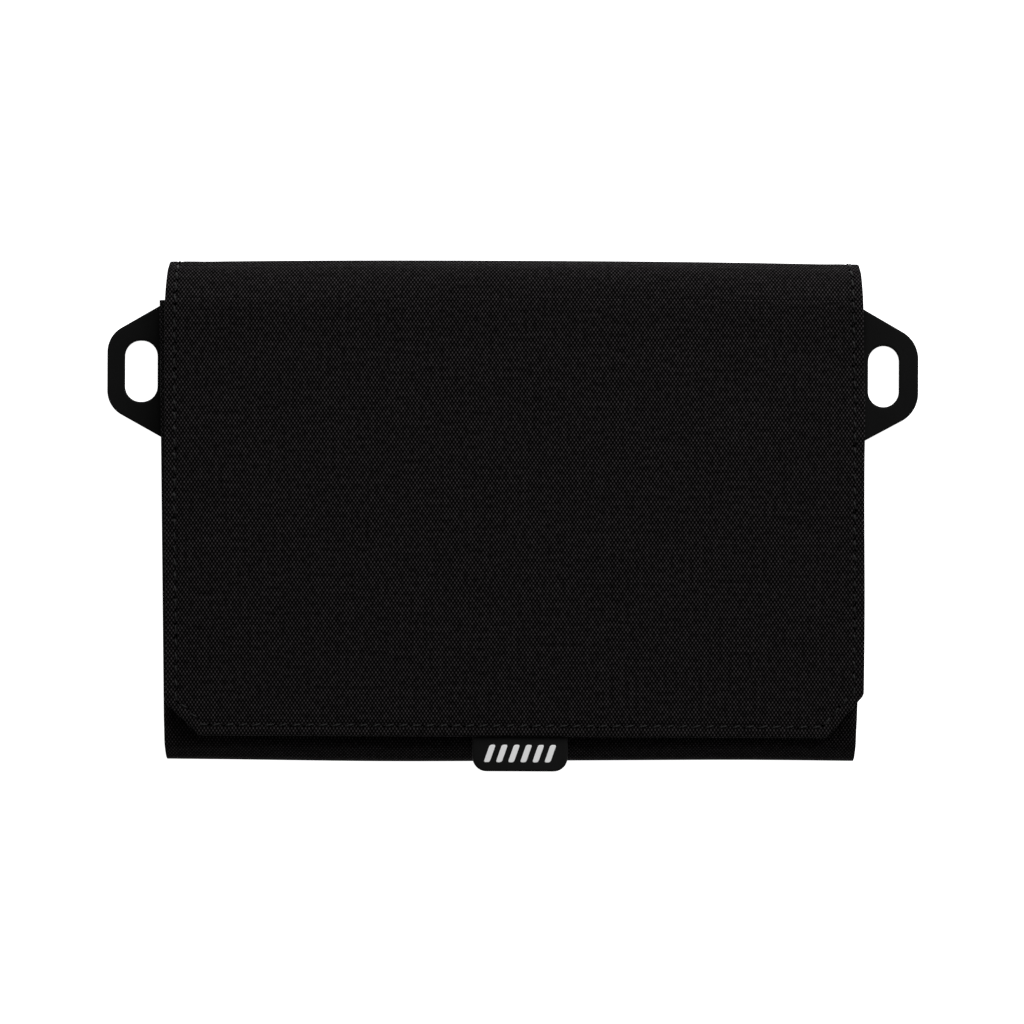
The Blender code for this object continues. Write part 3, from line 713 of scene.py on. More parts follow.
def simulate_drape():
    """Cloth simulation of the flap's skin inside its seam: it is a little too big for its board."""
    grid_x, grid_y = np.meshgrid(drape_x, drape_y)
    rows, columns = grid_x.shape
    start = 0.02 * RANDOM.normal(size=grid_x.shape)
    points = np.stack([grid_x, grid_y, start], axis=-1).reshape(-1, 3)
    index = np.arange(rows * columns).reshape(rows, columns)
    skin = add_mesh("drape_skin", points, grid_faces(index).tolist(), "shell")
    pins = skin.vertex_groups.new(name="pins")
    border = np.concatenate([index[0], index[-1], index[:, 0], index[:, -1]])
    pins.add(sorted(set(border.tolist())), 1.0, "REPLACE")
    cloth = skin.modifiers.new("Cloth", "CLOTH")
    cloth.settings.quality = 6
    cloth.settings.mass = 0.15
    cloth.settings.tension_stiffness = 20
    cloth.settings.compression_stiffness = 20
    cloth.settings.bending_stiffness = 0.6
    cloth.settings.vertex_group_mass = "pins"
    cloth.settings.shrink_min = -0.004
    cloth.settings.use_pressure = True
    cloth.settings.uniform_pressure_force = 0.4
    cloth.settings.effector_weights.gravity = 0.0
    cloth.point_cache.frame_start = 1
    cloth.point_cache.frame_end = DRAPE_FRAMES
    scene = bpy.context.scene
    for step in range(1, DRAPE_FRAMES + 1):
        scene.frame_set(step)
    depsgraph = bpy.context.evaluated_depsgraph_get()
    result = skin.evaluated_get(depsgraph).to_mesh()
    height = np.zeros(len(result.vertices) * 3, np.float32)
    result.vertices.foreach_get("co", height)
    height = height.reshape(rows, columns, 3)[..., 2] / MM
    skin.evaluated_get(depsgraph).to_mesh_clear()
    bpy.data.objects.remove(skin)
    scene.frame_set(1)
    return DRAPE_CAP * np.tanh(height / DRAPE_CAP)


drape = simulate_drape()


def flap_wave(x, s):
    """Height of the flap's skin above flat: the simulated drape, which starts gently below the fold."""
    row = (OUTER.at(s)[0] - drape_y[0]) / (drape_y[1] - drape_y[0])
    column = (x - FLAP_SHIFT - drape_x[0]) / (drape_x[1] - drape_x[0])
    last_row, last_column = len(drape_y) - 1, len(drape_x) - 1
    inside = (row > 0) & (row < last_row) & (column > 0) & (column < last_column)
    sampled = cubic_sample(drape, np.clip(row, 0, last_row), np.clip(column, 0, last_column))
    return np.where(inside, sampled, 0.0) * rise(s, FLAP_START, 8.0)


def on_back(s):
    """1 on the face that the wallet lies on, 0 from the fold onwards."""
    return fall(s, BACK_END - 8.0, 8.0)


def outer_hem(x, s, side, end):
    """Relief of the hem round the outer cloth, so far from its nearer side and its nearer end."""
    distance = np.minimum(side, end)
    hem = hem_relief(distance, np.where(side < end, s, x), SEAM_INSET, STITCH_PITCH)
    return (hem - np.maximum(hem, 0.0) * on_back(s)) * rise(distance, 0.0, RELIEF_FADE)


def outer_rows(start, stop, low_free, high_free):
    """Row positions of one stretch of the outer cloth, close together where it bends."""
    cuts = [start]
    for bend_start, bend_end in OUTER.spans:
        cuts += [s for s in (bend_start, bend_end) if start < s < stop]
    cuts.append(stop)
    rows = []
    for low, high in zip(cuts, cuts[1:]):
        bent = any(a - 0.01 <= low and high <= b + 0.01 for a, b in OUTER.spans)
        if bent or high - low < 12:
            piece = low + spaced(0, high - low, BEND_STEP)
        else:
            free = (low_free and low == start, high_free and high == stop)
            piece = low + edge_dense(high - low, CLOTH_STEP, *free)
        rows.append(piece if not rows else piece[1:])
    return np.concatenate(rows)


# The CAD nodes that each part of the fold stands for, without their endings "_cloth" and "_lining"
FOLD_NODES = {
    "back": ("back",),
    "fold_lower": ("fold_lower",),
    "fold_upper": ("fold_middle",),
    "flap": ("fold_upper", "flap"),
}


def fold_blend(obj):
    """Bakes a piece's placement into its mesh."""
    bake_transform(obj)


def build_fold_cloth(
    name, ending, material, half, offset, step, start=0.0, inset=0.0, hemmed=False
):
    """One cloth that runs round the fold, as four sheets that meet on its straight stretches.

    offset gives how far it lies outside the profile. start and inset say how far it stays inside the
    outer cloth's first edge and its other edges.
    """
    ends = [start, *BORDERS, OUTER.length - inset]
    made = []
    for index, part in enumerate(FOLD_PARTS):
        free = (index == 0, index == 3)
        rows = outer_rows(ends[index], ends[index + 1], *free)
        left, right = outer_edges(rows)
        x, s, side = grid_between(rows, left + inset, right - inset, step)
        end = np.minimum(s - ends[0], ends[-1] - s)
        points, normals = outer_place(x, s, offset(x, s))
        thick = rounded_half(np.minimum(side, end), half)
        relief = outer_hem(x, s, side, end) if hemmed else 0.0
        obj = sheet_mesh(name + part, x, s, points, normals, thick, material, free, relief)
        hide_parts(*[node + ending for node in FOLD_NODES[part]])
        made.append(obj)
    return made


def build_outer_stitching():
    """The topstitching round the whole outer cloth."""
    length, inset = OUTER.length, SEAM_INSET
    sides, feet = [], []
    for side, (width, height) in enumerate(FLAP_CHAMFERS):
        slant = math.hypot(width, height)
        rise = height + inset * (slant - height) / width
        run = width + inset * (slant - width) / height
        up = spaced(inset, length - rise, 1.0)
        edge = outer_edges(np.minimum(up, length - height - FLAP_CORNER_RADIUS))[side]
        inward = 1 - 2 * side
        sides.append(np.stack([edge + inward * (inset + SEAM_SHIFTS[side]), up], axis=-1))
        feet.append((FLAP_SHIFT - inward * (FLAP_HALF_WIDTH - run), length - inset - SEAM_SHIFTS[2]))
    path = np.concatenate([sides[0], feet, sides[1][::-1]])
    place, ahead = walk(path, STITCH_PITCH, closed=True)
    step = ahead / np.linalg.norm(ahead, axis=1, keepdims=True) * 0.2
    level = CLOTH_HALF - SEAM_SINK + flap_wave(*place.T) - HEM_SWELL * on_back(place[:, 1])
    points, normals = outer_place(place[:, 0], place[:, 1], level)
    next_points, _ = outer_place(place[:, 0] + step[:, 0], place[:, 1] + step[:, 1], level)
    made = []
    ends = [-1.0, *BORDERS, length + 1.0]
    for index, part in enumerate(FOLD_PARTS):
        mine = (place[:, 1] > ends[index]) & (place[:, 1] <= ends[index + 1])
        directions = (next_points - points)[mine]
        made.append(stitches("outer_stitching_" + part, points[mine], directions, normals[mine]))
    return made


LINING_HALF = 0.15
# Distance from the middle of the outer cloth to the middle of the lining: over each board, in the fold
board_gap_back = box_mm("back_lining")[0][2] + LINING_HALF - CLOTH_HALF
board_gap_flap = creases[-1][1] - sum(c[2] for c in box_mm("flap_lining")) / 2
FOLD_GAP = 0.95
LINING_START = 2.4  # where the lining starts, from the outer cloth's first edge
LINING_INSET = 0.9  # from the outer cloth's other edges


def lining_offset(_, s):
    """How far out the lining runs: close inside the outer cloth in the fold, over the boards beyond."""
    towards_back = fall(s, BACK_END - 9.0, 10.0)
    towards_flap = rise(s, FLAP_START - 6.0, 14.0)
    over_back = (board_gap_back - FOLD_GAP) * towards_back
    over_flap = (board_gap_flap - FOLD_GAP) * towards_flap
    return -FOLD_GAP - over_back - over_flap


def declare_fold_sheets(pieces, stitching):
    for row in (pieces, stitching):
        for part, piece in zip(FOLD_PARTS, row):
            fold_blend(piece)


outer_cloth = build_fold_cloth(
    "outer_cloth_", "_cloth", "shell", CLOTH_HALF, flap_wave, CLOTH_STEP, hemmed=True
)
outer_stitching = build_outer_stitching()
lining = build_fold_cloth(
    "lining_", "_lining", "lining", LINING_HALF, lining_offset, INNER_STEP, LINING_START, LINING_INSET
)
declare_fold_sheets(outer_cloth, outer_stitching)
declare_fold_sheets(lining, [])


# ---------------------------------------------------------------- flat panels


SIDE_ROLL = 1.1
SIDE_ROLL_WIDTH = 2.4


class Panel:
    """A flat layer sewn to the wallet, at the place of a CAD node."""

    def __init__(self, node, z=None, corner=0.0):
        low, high = box_mm(node)
        self.node = node
        self.x = (low[0], high[0])
        self.y = (low[1], high[1])
        self.z = (low[2] + high[2]) / 2 if z is None else z
        self.half = (high[2] - low[2]) / 2
        self.corner = corner

    def edges(self, y):
        """Left and right edge at y, with round corners."""
        t = np.minimum(y - self.y[0], self.y[1] - y)
        inset = corner_inset(t, self.corner) if self.corner else np.zeros_like(y)
        return self.x[0] + inset, self.x[1] - inset


def side_roll(x, left, right):
    """How far the pouch's cloth rolls down towards its side seams."""
    side = np.minimum(x - left, right - x)
    return SIDE_ROLL * np.clip(1 - side / SIDE_ROLL_WIDTH, 0, 1) ** 2


def build_panel(
    name, panel, material, slot, body, up=1.0, step=INNER_STEP, relief=None, edges=None, wave=0.0
):
    """A flat sheet of cloth with turned edges. up is 1 where its good side faces up, -1 where down.

    With edges, it reaches from side seam to side seam and rolls down to them.
    """
    rows = panel.y[0] + edge_dense(panel.y[1] - panel.y[0], step)
    x, y, side = grid_between(rows, *(edges or panel.edges)(rows), step)
    distance = np.minimum(side, np.minimum(y - panel.y[0], panel.y[1] - y))
    half = rounded_half(distance, panel.half)
    height = wave * np.sin(x / 17.0 + 0.6) * np.sin(y / 13.0 + 0.3) * rise(distance, 0.0, 8.0)
    if edges:
        height = height - side_roll(x, *pouch_edges(y))
    points = np.stack([x, y, panel.z + height], axis=-1)
    normals = np.broadcast_to(np.array([0.0, 0.0, up]), points.shape)
    lift = 0.0 if relief is None else relief(x, y, distance) * rise(distance, 0.0, RELIEF_FADE)
    obj = sheet_mesh(name, x, y, points, normals, half, material, outer_relief=lift)
    if up < 0:
        obj.data.flip_normals()
    if slot:
        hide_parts(panel.node)
    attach(obj, body)
    return obj


def flat_stitches(name, path, z, body, up=1.0, closed=False, pitch=FINE_PITCH, length=FINE_LENGTH):
    """Stitches along a path on a flat layer whose face is at z."""
    place, ahead = walk(path, pitch, closed)
    points = np.column_stack([place, np.full(len(place), z)])
    directions = np.column_stack([ahead, np.zeros(len(place))])
    normals = np.tile([0.0, 0.0, up], (len(place), 1))
    obj = stitches(name, points, directions, normals, length, FINE_RADIUS)
    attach(obj, body)
    return obj


def inset_rectangle(panel, inset, corner=1.0):
    """A closed path inside a panel's outline, with its corners cut a little."""
    left, right = panel.x[0] + inset, panel.x[1] - inset
    low, high = panel.y[0] + inset, panel.y[1] - inset
    return [
        (left, low + corner),
        (left, high - corner),
        (left + corner, high),
        (right - corner, high),
        (right, high - corner),
        (right, low + corner),
        (right - corner, low),
        (left + corner, low),
    ]


# ---------------------------------------------------------------- pouch


front_low, front_high = box_mm("front_panel")
slope_low = box_mm("bottom_gusset_upper")[0]
foot_low, foot_high = box_mm("bottom_gusset_lower")
FOOT_Z = 0.95  # where the pouch's front and sides meet the back
FRONT_Z = (front_low[2] + front_high[2]) / 2
FRONT_HALF = (front_high[2] - front_low[2]) / 2
FRONT = Profile(
    [
        (front_high[1], FRONT_Z),
        (front_low[1] + 0.2, FRONT_Z),
        (slope_low[1] + 0.7, foot_high[2] + 0.5),
        (foot_low[1] + 0.65, 3.2),
        (foot_low[1] - 0.05, FOOT_Z),
    ],
    (11.0, 5.0, 3.0),
)


DIVIDER_TRIM = (0.4, 0.7, 0.8)  # off its left, right and low end, clear of the gussets and the front
ZIP_SEAM_INSET = 1.6
SEAM_END = 1.5  # how far a straight seam stops short of the side
THREAD_LIFT = 0.02  # of a fine stitch above its cloth
ZIP_COVER_OVERLAP = 1.8
ZIP_COVER_INNER = 82.6
ZIP_COVER_HALF = 0.25


def front_place(x, s, left, right, offset=0.0):
    """The front cloth's surface: its sides roll down, and its foot follows the bottom seam's bow."""
    points, normals = FRONT.embed(x, s, offset)
    y = points[..., 1]
    foot = fall(y, front_low[1] - 8.0, 8.0)
    points[..., 2] -= side_roll(x, left, right) * (1 - foot)
    points[..., 1] += bottom_bow(x) * foot
    slack = np.sin(x / 23.0 + 1.0) * np.sin(s / 9.0) + 0.6 * np.sin(x / 11.0 + s / 6.0)
    points[..., 2] += 0.18 * slack * foot * (1 - foot) * 4
    return points, normals


def zip_hem(x, distance):
    """Relief of an edge that is sewn to the zip's tape."""
    return hem_relief(distance, x, ZIP_SEAM_INSET, FINE_PITCH, 0.08, 0.06)


def build_front_cloth():
    """The front of the pouch below the zip, and the sloping bottom that it runs on into."""
    rows = edge_dense(FRONT.length, CLOTH_STEP)
    left, right = pouch_edges(FRONT.at(rows)[0])
    x, s, side = grid_between(rows, left, right, 1.2)
    half = rounded_half(np.minimum(side, np.minimum(s, FRONT.length - s)), FRONT_HALF)
    points, normals = front_place(x, s, left[:, None], right[:, None])
    obj = sheet_mesh("front_cloth", x, s, points, normals, half, "panel", outer_relief=zip_hem(x, s))
    obj.data.flip_normals()
    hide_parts("front_panel", "bottom_gusset_upper", "bottom_gusset_lower")
    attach(obj, "pouch")
    ends = (POUCH_LEFT_TOP + SEAM_END, POUCH_RIGHT_TOP - SEAM_END)
    place, ahead = walk([(end, ZIP_SEAM_INSET) for end in ends], FINE_PITCH)
    edge = np.array([[POUCH_LEFT_TOP], [POUCH_RIGHT_TOP]])
    at, normal = front_place(*place.T, *edge, FRONT_HALF + THREAD_LIFT)
    directions = np.column_stack([ahead, np.zeros(len(ahead))])
    sewn = stitches("front_zip_stitching", at, directions, normal, FINE_LENGTH, FINE_RADIUS)
    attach(sewn, "pouch")


def build_gusset(side, node):
    """A side wall of the pouch, folded slightly outwards, from the mouth to the sloping bottom."""
    low, high = box_mm(node)
    half = (high[0] - low[0]) / 2
    columns = low[1] + edge_dense(high[1] - low[1], 1.4)
    order = np.argsort(FRONT.y)
    top = np.interp(columns, FRONT.y[order], FRONT.z[order]) - 0.9
    foot = np.full_like(columns, FOOT_Z)
    top = np.maximum(top, foot + 0.4)
    share = edge_dense(7.0, 0.5) / 7.0
    z = foot[None] + (top - foot)[None] * share[:, None]
    y = np.broadcast_to(columns[None], z.shape)
    edge = pouch_edges(y)[(side + 1) // 2]
    crease = np.sin(math.pi * share)[:, None]
    pucker = 0.12 * np.sin(y / 3.1) * crease
    x = edge - side * (half + 0.12 + 0.45 * (1 - crease) + pucker)
    distance = np.minimum(np.minimum(z - foot, top - z), np.minimum(y - low[1], high[1] - y))
    thick = rounded_half(distance, half)
    points = np.stack([x, y, z], axis=-1)
    normals = np.broadcast_to(np.array([float(side), 0.0, 0.0]), points.shape)
    obj = sheet_mesh(node + "_cloth", y, z, points, normals, thick, "panel")
    if side < 0:
        obj.data.flip_normals()
    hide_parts(node)
    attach(obj, "pouch")
    return obj


def build_pouch():
    """The pouch's sides, front, header above the zip, divider and bound mouth."""
    build_gusset(-1, "left_gusset")
    build_gusset(1, "right_gusset")
    build_front_cloth()
    header = Panel("zip_header")

    def header_hem(x, y, _):
        return zip_hem(x, y - header.y[0])

    sewn_in = {"relief": header_hem, "edges": pouch_edges}
    build_panel("zip_header_cloth", header, "panel", "panel_cloth", "pouch", **sewn_in)
    seam_y = header.y[0] + ZIP_SEAM_INSET
    path = [(header.x[0] + SEAM_END, seam_y), (header.x[1] - SEAM_END, seam_y)]
    flat_stitches("header_zip_stitching", path, header.z + header.half + THREAD_LIFT, "pouch")
    for side in (-1, 1):
        build_zip_end_cover(side)
    divider = Panel("pocket_divider")
    divider.x = (divider.x[0] + DIVIDER_TRIM[0], divider.x[1] - DIVIDER_TRIM[1])
    divider.y = (divider.y[0] + DIVIDER_TRIM[2], divider.y[1])
    cloth = build_panel("pocket_divider_cloth", divider, "lining", "lining_cloth", "pouch", wave=0.2)
    build_mouth_binding()


def build_zip_end_cover(side):
    """A patch that closes the pouch's front over one end of the zip."""
    cover = Panel("zip_header", z=front_high[2] + 0.3)
    cover.y = (front_high[1] - ZIP_COVER_OVERLAP, cover.y[0] + ZIP_COVER_OVERLAP)
    cover.half = ZIP_COVER_HALF
    inner = side * ZIP_COVER_INNER

    def edges(y):
        left, right = pouch_edges(y)
        if side < 0:
            return left + 0.1, np.full_like(y, inner)
        return np.full_like(y, inner), right - 0.1

    name = "zip_end_cover_" + ("left" if side < 0 else "right")
    build_panel(name, cover, "panel", None, "pouch", step=0.8, edges=edges)
    line = [(inner + side * 1.2, cover.y[0] + 0.8), (inner + side * 1.2, cover.y[1] - 0.8)]
    flat_stitches(name + "_stitching", line, cover.z + cover.half, "pouch")


def build_mouth_binding():
    """The tape folded over the pouch's top edge."""
    low, high = box_mm("pouch_top_binding")
    sides = 20
    x = spaced(low[0], high[0], 1.5)
    angle = np.linspace(0, 2 * math.pi, sides, endpoint=False)
    centre_y, centre_z = (low[1] + high[1]) / 2, (low[2] + high[2]) / 2
    grid_x, grid_a = np.meshgrid(x, angle, indexing="ij")
    ripple = 1 + 0.04 * np.sin(grid_x * 2.4)
    across, up = (np.sign(t) * np.abs(t) ** 0.6 for t in (np.cos(grid_a), np.sin(grid_a)))
    y = centre_y + (high[1] - low[1]) / 2 * across * ripple
    z = centre_z + (high[2] - low[2]) / 2 * up
    points = np.stack([grid_x, y, z], axis=-1).reshape(-1, 3)
    uv = np.stack([grid_x, grid_a * 0.5], axis=-1).reshape(-1, 2)
    obj = add_mesh("pouch_top_binding_tape", points, tube_faces(len(x), sides), "binding", uv)
    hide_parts("pouch_top_binding")
    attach(obj, "pouch")


# ---------------------------------------------------------------- zip


TOOTH_PITCH = 1.3
TOOTH_WIDTH = 0.6
TOOTH_TO_CENTRE = 0.28  # clears the slider's post
ZIP_METAL_NODES = (
    "zip_slider",
    "zip_pull",
    "zip_bottom_stop",
    "zip_top_stop_upper",
    "zip_top_stop_lower",
)


def build_coil(name, node, side, phase):
    """One half of the zip: a row of moulded turns, staggered against the other half's."""
    low, high = box_mm(node)
    middle_y = sum(c[1] for c in box_mm("zip_coil_upper") + box_mm("zip_coil_lower")) / 4
    outer_y = high[1] if side > 0 else low[1]
    inner_y = middle_y + side * TOOTH_TO_CENTRE
    centres = np.arange(low[0] + TOOTH_PITCH * (0.3 + phase), high[0] - TOOTH_PITCH / 2, TOOTH_PITCH)
    rings, sides = 9, 10
    along = -np.cos(np.linspace(0, math.pi, rings))
    angle = np.linspace(0, 2 * math.pi, sides, endpoint=False)
    bulge = np.maximum(0.0, 1 - along**6) ** 0.5
    head = 1 + 0.25 * np.exp(-(((along - 0.7) / 0.25) ** 2))
    radius = np.maximum(bulge * head, 0.02)
    template = []
    for a, r in zip(along, radius):
        for turn in angle:
            template.append((
                r * TOOTH_WIDTH / 2 / 1.2 * math.cos(turn),
                (outer_y + inner_y) / 2 + a * (inner_y - outer_y) / 2,
                (low[2] + high[2]) / 2 + r / 1.25 * (high[2] - low[2]) / 2 * math.sin(turn),
            ))
    points = np.array([[x + centre, y, z] for centre in centres for x, y, z in template])
    faces = repeated(tube_faces(rings, sides, turned=side < 0), len(template), len(centres))
    obj = add_mesh(name, points, faces, "coil")
    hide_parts(node)
    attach(obj, "pouch")


def build_zip():
    """The zip's tapes and turns, and a soft edge on its CAD slider, pull and stops."""
    for name, side, phase in (("upper", 1, 0.0), ("lower", -1, 0.5)):
        tape = Panel("zip_tape_" + name)
        build_panel("zip_tape_" + name + "_cloth", tape, "zip_tape", "zip_tape", "pouch")
        build_coil("zip_coil_" + name + "_turns", "zip_coil_" + name, side, phase)
    for node in ZIP_METAL_NODES:
        bevel = frame["nodes"][node].modifiers.new("rounded_edges", "BEVEL")
        bevel.width = 0.12 * MM
        bevel.segments = 3
        bevel.limit_method = "ANGLE"
        bevel.angle_limit = math.radians(35)
        frame["nodes"][node].data.shade_smooth()


# ---------------------------------------------------------------- pockets and closure


POCKET_HEM = 5.0
POCKET_SEAM_INSET = 1.3


def pocket_relief(panel):
    """A folded hem along the mouth, and the pull of the stitches along the other edges."""

    def relief(x, y, distance):
        band = 0.14 * fall(panel.y[1] - y, POCKET_HEM - 0.3, 0.6)
        return band + hem_relief(distance, x + y, POCKET_SEAM_INSET, FINE_PITCH, 0.05, 0.03)

    return relief


def build_pockets():
    """Card slots, ticket pocket and the pocket inside the flap, with their seams."""
    for order in ("rear", "middle", "front"):
        node = "card_slot_" + order
        panel = Panel(node)
        name = node + "_cloth"
        cloth = build_panel(name, panel, "lining", "lining_cloth", "pouch", relief=pocket_relief(panel))
        face = panel.z + panel.half + THREAD_LIFT
        hem_y = panel.y[1] - POCKET_HEM + 0.8
        line = [(panel.x[0] + POCKET_SEAM_INSET, hem_y), (panel.x[1] - POCKET_SEAM_INSET, hem_y)]
        sewn = [flat_stitches(node + "_hem_stitching", line, face + 0.1, "pouch")]
        if order == "front":
            path = inset_rectangle(panel, POCKET_SEAM_INSET)
            sewn.append(flat_stitches("card_slot_seam_stitching", path, face, "pouch", closed=True))

    build_mesh_pocket("ticket_pocket", "pouch", 1.0)
    build_mesh_pocket("flap_pocket", "flap", -1.0)
    binding = Panel("flap_pocket_binding")
    build_panel("flap_pocket_binding_tape", binding, "binding", "binding_tape", "flap", up=-1.0)
    middle_y = sum(binding.y) / 2
    line = [(binding.x[0] + 1, middle_y), (binding.x[1] - 1, middle_y)]
    face = binding.z - binding.half - THREAD_LIFT
    flat_stitches("flap_binding_stitching", line, face, "flap", up=-1.0)


def build_mesh_pocket(node, body, up):
    """A pocket of knitted mesh: hemmed on the pouch, slack and bound on the flap."""
    panel = Panel(node)
    look = {"relief": pocket_relief(panel)} if up > 0 else {"wave": 0.1}
    cloth = build_panel(node + "_mesh", panel, "mesh", "mesh_cloth", body, up, **look)
    seam = inset_rectangle(panel, POCKET_SEAM_INSET)
    face = panel.z + up * (panel.half + THREAD_LIFT)
    sewn = flat_stitches(node + "_stitching", seam, face, body, up, closed=True)


def rough_relief(x, y, _):
    """The uneven face of a strip of pile."""
    return 0.06 * np.sin(x * 5.1) * np.sin(y * 4.7)


def build_closure():
    """The two strips of hook-and-loop, each stitched round its edge."""
    strips = (
        ("closure_loop_strip", "loop_pile", "pouch", 1.0, "front_cloth"),
        ("closure_hook_strip", "hook_pile", "flap", -1.0, "lining_flap"),
    )
    for node, material, body, up, rests_on in strips:
        panel = Panel(node, corner=1.5)
        pad = build_panel(
            node + "_pile", panel, material, "hook_and_loop", body, up, step=0.6, relief=rough_relief
        )
        path = inset_rectangle(panel, 1.2, 0.8)
        face = panel.z + up * (panel.half - 0.05)
        sewn = flat_stitches(node + "_stitching", path, face, body, up, closed=True)


# ---------------------------------------------------------------- moulded pieces


LOOP_ROOT_INNER = 89.4
LOOP_ROOT_HALF = 0.34
LOOP_SAMPLES = 360
LOOP_RADIAL = (0.0, 0.02, 0.05, 0.1, 0.18, 0.3, 0.42, 0.54, 0.66, 0.77, 0.86, 0.92, 0.96, 0.985, 1.0)
LOOP_EDGE = 0.42
SLOT_INNER, SLOT_HALF, SLOT_RADIUS = 92.0, 7.9, 4.0
LOOP_END_HALF = 9.2
# (shift of the loop along Y, upper and lower half height at its root, radius of its outer corners,
# far side of its slot)
LOOP_SHAPES = {
    "left_strap_loop": (0.45, 18.2, 17.9, 7.2, 100.4),
    "right_strap_loop": (-0.1, 18.2, 17.6, 8.2, 99.95),
}


def rounded_polygon(corners, step=0.15):
    """Points round a closed polygon of (x, y, radius) corners, with its straight sides divided too."""
    points = []
    count = len(corners)
    starts, ends = [], []
    for i, (x, y, radius) in enumerate(corners):
        corner = np.array([x, y])
        before = np.array(corners[i - 1][:2]) - corner
        after = np.array(corners[(i + 1) % count][:2]) - corner
        before, after = before / np.linalg.norm(before), after / np.linalg.norm(after)
        half_angle = math.acos(float(np.clip(before @ after, -1, 1))) / 2
        reach = radius / math.tan(half_angle)
        first, last = corner + before * reach, corner + after * reach
        inward = (before + after) / np.linalg.norm(before + after)
        centre = corner + inward * radius / math.sin(half_angle)
        a0 = math.atan2(*(first - centre)[::-1])
        a1 = math.atan2(*(last - centre)[::-1])
        sweep = (a1 - a0 + math.pi) % (2 * math.pi) - math.pi
        angles = a0 + sweep * np.linspace(0, 1, 25 if radius else 1)
        arc = [centre + radius * np.array([math.cos(angle), math.sin(angle)]) for angle in angles]
        starts.append(first)
        ends.append(last)
        points.append(arc if radius else [corner])
    path = []
    for i in range(count):
        path += points[i]
        gap = starts[(i + 1) % count] - ends[i]
        for t in np.arange(step, np.linalg.norm(gap), step):
            path.append(ends[i] + gap / np.linalg.norm(gap) * t)
    return np.array(path)


def radii_at(path, centre, angles):
    """How far a closed path lies from centre at each angle."""
    offset = path - centre
    angle = np.arctan2(offset[:, 1], offset[:, 0])
    order = np.argsort(angle)
    return np.interp(angles, angle[order], np.linalg.norm(offset, axis=1)[order], period=2 * math.pi)


def build_strap_loop(side, node):
    """A moulded loop that grows out of the side seam: one ring between its slot and its outline."""
    low, high = box_mm(node)
    shift, root_up, root_down, end_radius, slot_outer = LOOP_SHAPES[node]
    centre_y = (low[1] + high[1]) / 2 + shift
    outer_x = max(abs(low[0]), abs(high[0]))
    outline = rounded_polygon([
        (LOOP_ROOT_INNER, centre_y - root_down, 0.0),
        (outer_x, centre_y - LOOP_END_HALF, end_radius),
        (outer_x, centre_y + LOOP_END_HALF, end_radius),
        (LOOP_ROOT_INNER, centre_y + root_up, 0.0),
    ])
    slot = rounded_polygon([
        (SLOT_INNER, centre_y - SLOT_HALF, SLOT_RADIUS),
        (slot_outer, centre_y - SLOT_HALF, SLOT_RADIUS),
        (slot_outer, centre_y + SLOT_HALF, SLOT_RADIUS),
        (SLOT_INNER, centre_y + SLOT_HALF, SLOT_RADIUS),
    ])
    centre = np.array([(SLOT_INNER + slot_outer) / 2, centre_y])
    root = [math.atan2(rise, LOOP_ROOT_INNER - centre[0]) for rise in (-root_down, root_up)]
    angles = np.linspace(-math.pi, math.pi, LOOP_SAMPLES, endpoint=False)
    angles = np.sort(np.concatenate([angles, root]))
    inner, outer = radii_at(slot, centre, angles), radii_at(outline, centre, angles)
    share = np.array(LOOP_RADIAL)
    radius = inner + (outer - inner) * share[:, None]
    x = centre[0] + radius * np.cos(angles)
    y = centre[1] + radius * np.sin(angles)
    distance = np.minimum(share[:, None], 1 - share[:, None]) * (outer - inner)
    beyond_root = rise(x, 90.0, 1.6)
    full = LOOP_ROOT_HALF + ((high[2] - low[2]) / 2 - LOOP_ROOT_HALF) * beyond_root
    reach = np.clip(distance / LOOP_EDGE, 0, 1)
    half = full * (0.25 + 0.75 * np.sqrt(1 - (1 - reach) ** 2))
    middle_z = (low[2] + high[2]) / 2
    rows, columns = x.shape
    upper = np.stack([side * x, y, middle_z + half], axis=-1).reshape(-1, 3)
    lower = np.stack([side * x, y, middle_z - half], axis=-1).reshape(-1, 3)
    index = np.arange(rows * columns).reshape(rows, columns)
    index = np.concatenate([index, index[:, :1]], axis=1)
    under = index + rows * columns
    rims = [np.stack([under[0], index[0]]), np.stack([index[-1], under[-1]])]
    faces = np.concatenate([grid_faces(under), *[grid_faces(grid.T) for grid in (index, *rims)]])
    obj = add_mesh(node + "_moulding", np.concatenate([upper, lower]), faces.tolist(), "moulded")
    if side < 0:
        obj.data.flip_normals()
    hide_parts(node)
    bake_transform(obj)


TAB_ROOT_Y = -55.0
TAB_CENTRE_SHIFT = 0.35
TAB_HALF_WIDTH = 12.15
TAB_RADIUS = 3.6
TAB_HALF = 0.55
TAB_END_RAISE = 0.05
RIB_COUNT = 6
RIB_PITCH = 3.1
RIB_WIDTH = 1.55
RIB_HALF_HEIGHT = 2.25
RIB_SLANT = 0.35
RIB_CORNER_RADIUS = 0.5
RIB_LIFT = 0.12


def flat_moulding(name, rows, left, right, step, z, half, material):
    """A flat moulded piece with a round edge, between two sides."""
    x, y, side = grid_between(rows, left, right, step)
    distance = np.minimum(side, np.minimum(y - rows[0], rows[-1] - y))
    points = np.stack([x, y, np.full_like(x, z)], axis=-1)
    normals = np.broadcast_to(np.array([0.0, 0.0, 1.0]), points.shape)
    return sheet_mesh(name, x, y, points, normals, rounded_half(distance, half), material)


